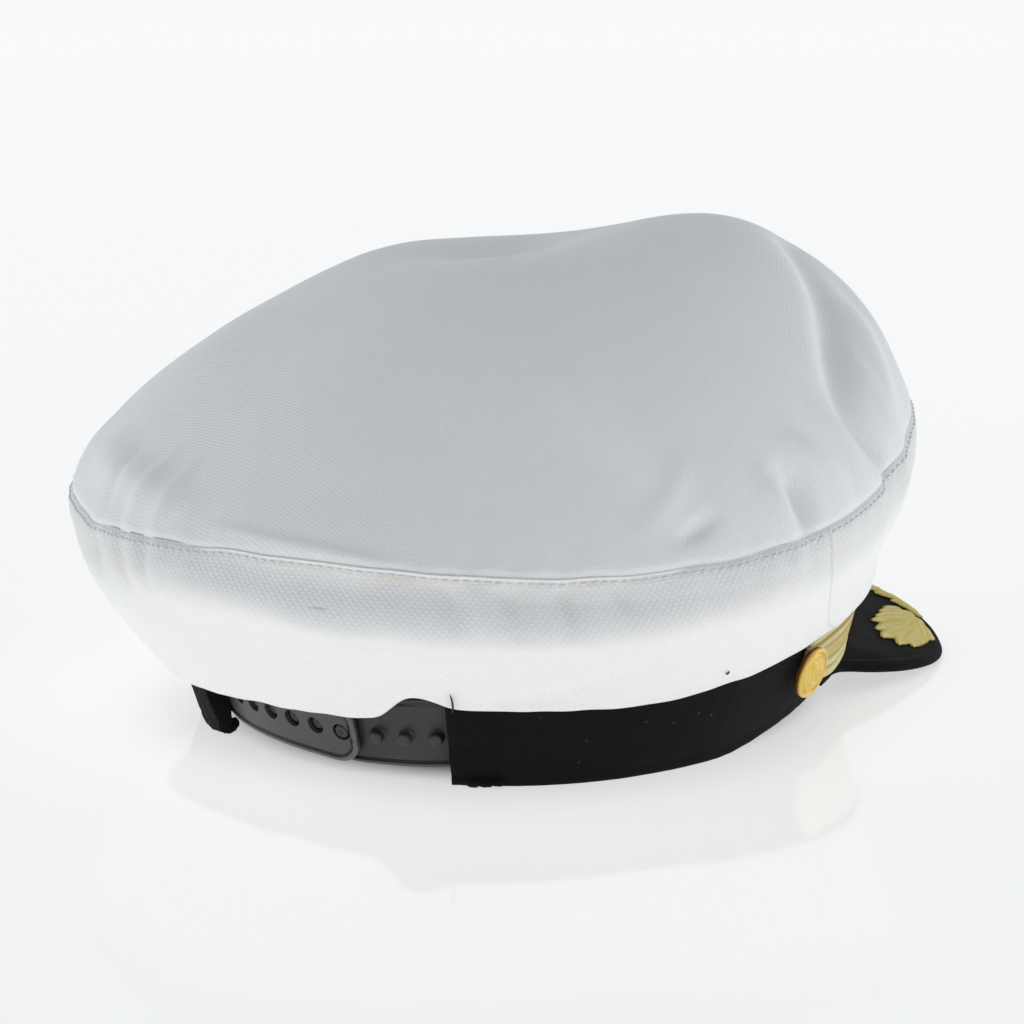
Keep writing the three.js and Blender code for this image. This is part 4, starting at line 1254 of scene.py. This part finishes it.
def make_braid():
    """The braid across the front, which stands off the band a little between the button and the middle."""
    start = BUTTON_TURN - BRAID_END
    turns = np.linspace(start, 360 - start, 1150)
    side = mirrored_turn(turns)
    rows = [np.linspace(0, 5, 20), np.linspace(5, 9.5, 12)[1:-1], np.linspace(9.5, BRAID_WIDTH, 20)]
    across = np.concatenate(rows)
    near_end = np.clip(1 - (side - start) / BRAID_END_LENGTH, 0, 1)
    low = BRAID_UP + BRAID_END_NARROWING * near_end**2 - BRAID_SAG * smooth_step(100, 112, side)
    share = across / BRAID_WIDTH
    height = low[:, None] + (BRAID_UP + BRAID_WIDTH - low)[:, None] * share
    turn = np.broadcast_to(turns[:, None], height.shape)
    run = run_along(at(turns, band_reach(turns, BRAID_UP), band_edge_up(turns)), 0)
    loose = smooth_step(94, 106, side) * (1 - smooth_step(125, 150, side))
    stand_off = GAP + BRAID_KICK * loose[:, None] * (1 - share)
    proud = stand_off + 0.25 + braid_relief(across[None, :], run[:, None])
    edge = band_edge_up(turn)
    front = at(turn, band_reach(turn, height) + proud, edge + height)
    back = at(turn, band_reach(turn, height) + stand_off, edge + height)
    loops = np.concatenate([front, back[:, ::-4]], axis=1)
    along = np.concatenate([across, across[::-4]])
    uv = np.stack(np.broadcast_arrays(run[:, None], along), axis=-1)
    loft("gold_braid_cord", loops, uv, braid_material(), replaces=["gold_braid"], slot="gold_braid")


def stroke(x, y, start, end, half, height, soft=0.35):
    """The relief of a raised stroke between two points."""
    a, b = np.array(start, float), np.array(end, float)
    along = np.clip(((x - a[0]) * (b - a)[0] + (y - a[1]) * (b - a)[1]) / ((b - a) @ (b - a)), 0, 1)
    away = np.hypot(x - a[0] - along * (b - a)[0], y - a[1] - along * (b - a)[1])
    return height * (1 - smooth_step(half - soft / 2, half + soft, away))


def anchor_relief(x, y):
    """A plain anchor: ring, shank, stock, and arms with flukes."""
    reliefs = [
        stroke(x, y, (0, 2.6), (0, -3.4), 0.42, 0.5),
        stroke(x, y, (-1.7, 1.9), (1.7, 1.9), 0.34, 0.45),
        stroke(x, y, (-3.1, -1.3), (-2.3, -2.1), 0.5, 0.45),
        stroke(x, y, (3.1, -1.3), (2.3, -2.1), 0.5, 0.45),
    ]
    ring = np.abs(np.hypot(x, y - 3.3) - 0.75)
    reliefs.append(0.42 * (1 - smooth_step(0.15, 0.5, ring)))
    arms = np.abs(np.hypot(x, y + 0.4) - 3.0)
    low = smooth_step(-0.6, -1.2, y)
    reliefs.append(0.45 * (1 - smooth_step(0.3, 0.65, arms)) * low)
    return np.maximum.reduce(reliefs)


def make_button(side, label, gilt):
    """A gilt button with a raised rim, a domed face and a worn anchor."""
    radius = np.concatenate([np.linspace(0, 6.2, 56), np.linspace(6.3, BUTTON_RADIUS, 12)])
    angle = np.linspace(0, 2 * np.pi, BUTTON_SIDES, endpoint=False)
    r, a = np.meshgrid(radius, angle, indexing="xy")
    x, y = r * np.cos(a), r * np.sin(a)
    dome = 3.25 - 0.95 * (r / 6.2) ** 2
    rim = 2.25 + 0.45 * np.sqrt(np.maximum(0, 1 - ((r - 6.85) / 0.65) ** 2))
    height = np.where(r < 6.15, dome, rim) - 0.3 * bump_at(r, 6.15, 0.16)
    rope = 0.12 * np.sin(a * 44) * bump_at(r, 5.4, 0.35)
    worn = 0.05 * noise(np.stack([x, y, 0 * x], axis=-1) + 31, 1.1)
    height = height + 0.75 * anchor_relief(x, y) * (r < 5) + rope + worn * (r < 6.1)
    height = height + 0.16 * bump_at(r, 5.4, 0.35)
    section = ((BUTTON_RADIUS, 1.5), (7.35, 0.75), (6.6, 0.1), (3, 0), (0.02, 0))
    back = turned_points(section, BUTTON_SIDES)
    loops = np.concatenate([np.stack([x, height, y], axis=-1), back], axis=1)
    outward = unit(at(side * BUTTON_AIM, 1.0, BUTTON_DROOP))
    turned = Vector((0, 1, 0)).rotation_difference(Vector(outward.tolist())).to_matrix()
    cos, sin = math.cos(BUTTON_SPIN * side), math.sin(BUTTON_SPIN * side)
    twist = np.array([[cos, 0, sin], [0, 1, 0], [-sin, 0, cos]])
    seat = band_reach(BUTTON_TURN, BUTTON_UP) + BRAID_THICKNESS + 2 * GAP + BUTTON_CLEARANCE
    middle = at(side * BUTTON_TURN, seat, band_edge_up(BUTTON_TURN) + BUTTON_UP)
    placed = (loops @ twist.T) @ np.array(turned).T + middle
    # The back lies past the rim on the map, where the gilt is painted dark brown as shade.
    from_middle = np.concatenate([r, BUTTON_RADIUS + 1 + 0 * back[..., 0]], axis=1)
    uv = np.stack(np.broadcast_arrays(angle[:, None] * 5, from_middle), axis=-1)
    name = f"button_{label}"
    weld(loft(name + "_gilt", placed, uv, gilt, wraps=True, replaces=[name], slot="gilt_metal"))


# The snap strap


def strap_point(kind, turn, across, proud):
    """Points of a strap by turn, by distance across from its middle line and by how proud they stand."""
    up = table_value(STRAP_LINES[kind], "up", turn) + across * math.cos(math.radians(BAND_FLARE))
    tucked = smooth_step(-BAND_OPENING, -HOLE_STRAP_TIP - 1, -turn) if kind == "pegs" else 0
    bow = STRAP_BOW * np.maximum(0, 1 - (turn / BAND_OPENING) ** 2)
    set_back = lerp(STRAP_SET_BACK, PEG_SET_BACK, tucked) - bow
    return at(turn, band_reach(turn, up) - set_back + proud, up)


# The strap's section: distance in from its outline, and how proud its face stands there
STRAP_EDGE = columns(
    "inset proud",
    (0, -0.4), (0.2, 0.16), (0.45, 0.42), (0.95, 0.46), (1.2, 0.3), (1.35, -0.25), (1.65, -0.5),
    (1.95, -0.25), (2.15, 0.02), (3, 0.0), (12, 0.0),
)


def strap_half(from_tip):
    """Half the strap's width at a distance from its rounded tip."""
    return STRAP_HALF_WIDTH * np.sqrt(1 - 0.8 * (1 - np.clip(from_tip / STRAP_TIP, 0, 1)) ** 2.4)


def strap_grid(kind, tip, sewn, columns_along=190, rows_across=54):
    """Turns and distances across over a strap with a rounded tip, and the height of its face."""
    per_degree = math.radians(BAND_HALF_LENGTH)
    share = np.linspace(0, 1, columns_along)
    from_tip = abs(sewn - tip) * per_degree * (0.35 * share + 0.65 * share**1.6)
    half = strap_half(from_tip)
    q = np.sin(np.linspace(-np.pi / 2, np.pi / 2, rows_across))
    q = 0.55 * q + 0.45 * np.linspace(-1, 1, rows_across)
    across = half[:, None] * q
    fine = np.linspace(0, STRAP_TIP * 1.5, 120)
    fine_half = strap_half(fine)
    end = np.linspace(-fine_half[0], fine_half[0], 40)
    sides = ((fine, fine_half), (fine, -fine_half), (0 * end, end))
    outline = np.concatenate([np.stack(line, axis=-1) for line in sides])
    spots = np.stack(np.broadcast_arrays(from_tip[:, None], across), axis=-1)
    to_outline = np.linalg.norm(spots[:, :, None, :] - outline, axis=-1).min(axis=-1)
    straight = from_tip > STRAP_TIP * 1.4
    to_outline[straight] = (half[:, None] - np.abs(across))[straight]
    rise = np.interp(to_outline, STRAP_EDGE["inset"], STRAP_EDGE["proud"])
    if kind == "holes":
        ahead = (tip - HOLE_TURN) * per_degree - from_tip[:, None]
        arc = bump_at(np.hypot(ahead, across), ARC_RADIUS, 0.32)
        rise = rise - 0.5 * arc * smooth_step(1.5, 2.6, ahead) * (across > -2.6)
    turn = tip + math.copysign(1, sewn - tip) * from_tip / per_degree
    if kind == "pegs":
        across = np.where(across > 0, PEG_STRAP_UPPER * across, across)
    return np.broadcast_to(turn[:, None], across.shape), across, rise, from_tip, to_outline


def make_strap(kind, tip, sewn, material):
    turn, across, rise, from_tip, to_outline = strap_grid(kind, tip, sewn)
    front = strap_point(kind, turn, across, rise)
    edge = np.abs(across).max(axis=1, keepdims=True)
    back_proud = -STRAP_THICKNESS + 0.25 * bump_at(np.abs(across), edge, 0.3)
    back = strap_point(kind, turn, across * 0.985, back_proud)
    loops = np.concatenate([front, back[:, ::-1]], axis=1)
    along = np.concatenate([across, across[:, ::-1] + 40], axis=1)
    uv = np.stack(np.broadcast_arrays(from_tip[:, None], along), axis=-1)
    # The inner strap's upper rim lies in shade, so it gets no painted highlight.
    if kind == "pegs":
        to_outline = np.where(across > 0, NO_RIM, to_outline)
    inset = np.concatenate([to_outline, NO_RIM + 0 * to_outline], axis=1)
    rim = np.stack([inset, along], axis=-1).reshape(-1, 2)
    name = "snap_strap_" + kind
    return loft(name + "_moulding", loops, uv, material, rim=rim, replaces=[name], slot="grey_plastic")


def strap_axes(kind, turn):
    """The middle of a peg or hole, with its axes along, out of and across the strap."""
    foot = strap_point(kind, turn, 0.0, 0.0)
    across = unit(strap_point(kind, turn, 1.0, 0.0) - strap_point(kind, turn, -1.0, 0.0))
    ahead = unit(strap_point(kind, turn + 0.5, 0.0, 0.0) - strap_point(kind, turn - 0.5, 0.0, 0.0))
    out = unit(np.cross(ahead, across))
    if out @ foot < 0:
        out = -out
    return foot, np.stack([ahead, out, across])


def hole_turn(index):
    return HOLE_TURN - index * HOLE_PITCH


def cut_holes(strap):
    """Cuts the snap holes through the strap."""
    points, faces = [], []
    section = ((0.001, -4), (HOLE_RADIUS, -4), (HOLE_RADIUS, 4), (0.001, 4))
    shape = turned_points(section, HOLE_SIDES).reshape(-1, 3)
    for index in range(HOLE_COUNT):
        foot, axes = strap_axes("holes", hole_turn(index))
        points.append(foot + shape @ axes)
        faces += (loft_faces(HOLE_SIDES, len(section), True) + index * len(shape)).tolist()
    mesh = mesh_of("hole_cutter", np.concatenate(points), faces)
    for map_name in ("cloth", "rim"):
        layer = mesh.uv_layers.new(name=map_name)
        layer.data.foreach_set("uv", np.full(2 * len(mesh.loops), NO_RIM, np.float32))
    cutter = linked("hole_cutter", mesh)
    weld(cutter, HOLE_WELD_DISTANCE)
    turn_outward(cutter)
    modifier = strap.modifiers.new("boolean", "BOOLEAN")
    modifier.operation = "DIFFERENCE"
    modifier.object = cutter
    modifier.solver = "EXACT"
    bpy.context.view_layer.update()
    baked(strap)
    bpy.data.objects.remove(cutter)


def peg_section(length, radius, dimple):
    """A peg's section: a fine ring at its foot and a domed head, with a dimple if it is a snapped one."""
    return (
        (0.001, -0.6), (2.3, -0.6), (2.3, 0.12), (1.95, 0.22), (radius, 0.6), (radius - 0.04, length - 0.7),
        (radius - 0.16, length - 0.35), (radius - 0.5, length - 0.1), (1.0, length - 0.02),
        (0.7, length - dimple), (0.3, length - dimple), (0.001, length - 0.6 * dimple),
    )


def make_pegs(material):
    """The pegs. The ones under the other strap stand in its holes, and the last of them is flush with it."""
    points, faces, maps = [], [], []
    for index in range(PEG_COUNT):
        if index < FREE_PEGS:
            foot, axes = strap_axes("pegs", FIRST_PEG - index * PEG_PITCH)
            section = peg_section(PEG_LENGTH, PEG_RADIUS, 0.02)
        else:
            snapped = index - FREE_PEGS
            foot, axes = strap_axes("holes", hole_turn(snapped))
            foot = foot - axes[1] * (PEG_SET_BACK - STRAP_SET_BACK)
            section = peg_section(SNAPPED_LENGTH[min(snapped, 1)], SNAPPED_RADIUS, 0.5)
        shape = turned_points(section, PEG_SIDES).reshape(-1, 3)
        points.append(foot + shape @ axes)
        faces += (loft_faces(PEG_SIDES, len(section), True) + index * len(shape)).tolist()
        maps.append(shape[:, [0, 2]] + index * 9)
    uv = np.concatenate(maps)
    options = {"slot": "grey_plastic", "uv": uv, "rim": NO_RIM + 0 * uv}
    pegs = make_piece("snap_pegs", np.concatenate(points), faces, material, **options)
    weld(pegs)
    turn_outward(pegs)


def make_straps():
    # The inner strap's plastic is a darker copy of the outer one's, painted shade where it lies further in;
    # the second colour of each is its painted rim highlight.
    inner = plastic_material("inner_strap_plastic", (0.022, 0.0234, 0.024, 1.0), (0.075, 0.068, 0.06, 1.0))
    outer = plastic_material("outer_strap_plastic", (0.046, 0.049, 0.0497, 1.0), (0.12, 0.11, 0.1, 1.0))
    make_strap("pegs", PEG_STRAP_TIP, BAND_OPENING + STRAP_SEWN, inner)
    cut_holes(make_strap("holes", HOLE_STRAP_TIP, -BAND_OPENING - STRAP_SEWN, outer))
    make_pegs(inner)


# Stray bits of thread


def make_strays():
    """A wisp of black thread over the hem at the band's end, and a speck of it on the side panel."""
    black = thread_material("stray_thread", colour(40, 42, 44))
    share = np.linspace(0, 1, 6)
    wisp = crown_point(26 + 0.25 * np.sin(share * 3), lerp(2.0, 1.84, share))
    wisp_out, _ = crown_frame(26 + 0 * share, lerp(2.0, 1.84, share), False)
    speck = crown_point(67 + 0.5 * share, 1.86 - 0.02 * share)
    speck_out, _ = crown_frame(67 + 0 * share, 1.86 + 0 * share, False)
    lift = lambda out: out * (0.5 + 0.3 * np.sin(np.pi * share))[:, None]
    paths = np.stack([wisp + lift(wisp_out), speck + lift(speck_out)])
    tubes("stray_threads", paths, np.stack([wisp_out, speck_out]), 0.28, black, slot="black_cloth")


# Camera, floor and light

VIEW_TURN = 36
VIEW_ELEVATION = 11.5
VIEW_DISTANCE = 776
VIEW_TARGET = np.array([4, 0, 54.4])
VIEW_FOCAL_PIXELS = 2600
FRAME_PIXELS = 1024
SENSOR = 36
FLOOR_HALF = 40  # metres
FLOOR_GLOSS = 0.09
FLOOR_GLOW = 0.64
# Under the hat the floor does not glow: a painted shadow, which also keeps the glow out of the hat.
UNDER_HAT = (0.8, 1.02)  # shares of the band's radii over which the floor's glow rises
SKY = (
    (0.0, (1.86, 1.86, 1.87, 1)),
    (0.1, (1.42, 1.43, 1.45, 1)),
    (0.25, (0.84, 0.87, 0.9, 1)),
    (0.5, (0.5, 0.535, 0.57, 1)),
    (1.0, (0.43, 0.465, 0.5, 1)),
)
DIM_ELEVATION = 50  # the middle of the dimmer part of the sky, on the camera's side
DIM_COSINES = (0.45, 0.95)
DIM_STRENGTH = 0.48
LAMP_SIZE = 0.7
LAMP_DISTANCE = 1400


def aimed(name, data, away, target):
    """A camera or lamp at a distance from a point, looking at it."""
    made = linked(name, data)
    made.location = (target + away + SHIFT) * MM
    made.rotation_mode = "QUATERNION"
    made.rotation_quaternion = Vector((-away).tolist()).to_track_quat("-Z", "Y")
    return made


def make_camera():
    data = bpy.data.cameras.new("camera")
    data.sensor_width = SENSOR
    data.lens = VIEW_FOCAL_PIXELS / FRAME_PIXELS * SENSOR
    data.clip_end = 200
    away = facing(VIEW_TURN, VIEW_ELEVATION) * VIEW_DISTANCE
    bpy.context.scene.camera = aimed("camera", data, away, VIEW_TARGET)


def make_floor():
    """A pale floor that glows like a lit table and mirrors the hat a little."""
    corners = [(-1, -1), (1, -1), (1, 1), (-1, 1)]
    mesh = bpy.data.meshes.new("floor")
    mesh.from_pydata([(x * FLOOR_HALF, y * FLOOR_HALF, 0) for x, y in corners], [], [(0, 1, 2, 3)])
    material = bpy.data.materials.new("pale_floor")
    material.use_nodes = True
    tree = material.node_tree
    tree.nodes.clear()
    diffuse = node(tree, "BsdfDiffuse", {"Color": colour(190, 190, 189)})
    place = node(tree, "TexCoord", output=3)
    from_middle = node(tree, "VectorMath", {0: place, 1: (SHIFT * MM).tolist()}, operation="SUBTRACT")
    radii = (1000 / BAND_HALF_WIDTH, 1000 / BAND_HALF_LENGTH, 1)
    shares = node(tree, "VectorMath", {0: from_middle, 1: radii}, operation="MULTIPLY")
    away = node(tree, "VectorMath", {0: shares}, output=1, operation="LENGTH")
    # Painted shadow: the glow fades out under the hat, which also keeps it from lighting the hat's inside.
    bright = ranged(tree, away, *UNDER_HAT, 0.0, FLOOR_GLOW, "SMOOTHSTEP")
    glow = node(tree, "Emission", {"Color": (1.0, 1.0, 0.995, 1), "Strength": bright})
    glossy = node(tree, "BsdfGlossy", {"Color": (1, 1, 1, 1), "Roughness": 0.06})
    lit = node(tree, "AddShader", {0: diffuse, 1: glow})
    mixed = node(tree, "MixShader", {0: FLOOR_GLOSS, 1: lit, 2: glossy})
    out = tree.nodes.new("ShaderNodeOutputMaterial")
    tree.links.new(mixed, out.inputs["Surface"])
    mesh.materials.append(material)
    floor = linked("floor", mesh)


def make_sky():
    """Soft light, brightest at the horizon and dimmer overhead and high on the camera's side."""
    world = bpy.data.worlds.new("studio")
    world.use_nodes = True
    tree = world.node_tree
    tree.nodes.clear()
    direction = node(tree, "TexCoord", output=0)
    sky = ramp(tree, split(tree, direction)[2], SKY)
    middle = facing(VIEW_TURN, DIM_ELEVATION).tolist()
    cosine = node(tree, "VectorMath", {0: direction, 1: middle}, output=1, operation="DOT_PRODUCT")
    strength = ranged(tree, cosine, *DIM_COSINES, 1.0, DIM_STRENGTH, "SMOOTHSTEP")
    background = node(tree, "Background", {"Color": sky, "Strength": strength})
    out = tree.nodes.new("ShaderNodeOutputWorld")
    tree.links.new(background, out.inputs["Surface"])
    bpy.context.scene.world = world
    bpy.context.scene.view_settings.view_transform = "Standard"


def make_light(name, turn, elevation, power):
    """A large soft lamp that looks at the hat."""
    data = bpy.data.lights.new(name, "AREA")
    data.size = LAMP_SIZE
    data.energy = power
    lamp = aimed(name, data, facing(turn, elevation) * LAMP_DISTANCE, 0)
    lamp.visible_camera = False


make_camera()
make_floor()
make_sky()
make_light("right_lamp", 138, 22, 1.8)
make_light("low_lamp", 60, 2, 1.2)
make_light("left_lamp", 300, 18, 1.5)

crown_top, crown_sides = make_crown()
band_piece = make_band()
make_peak()
make_leaves()
make_braid()
gilt = gilt_material()
make_button(1, "right", gilt)
make_button(-1, "left", gilt)
make_straps()
make_strays()
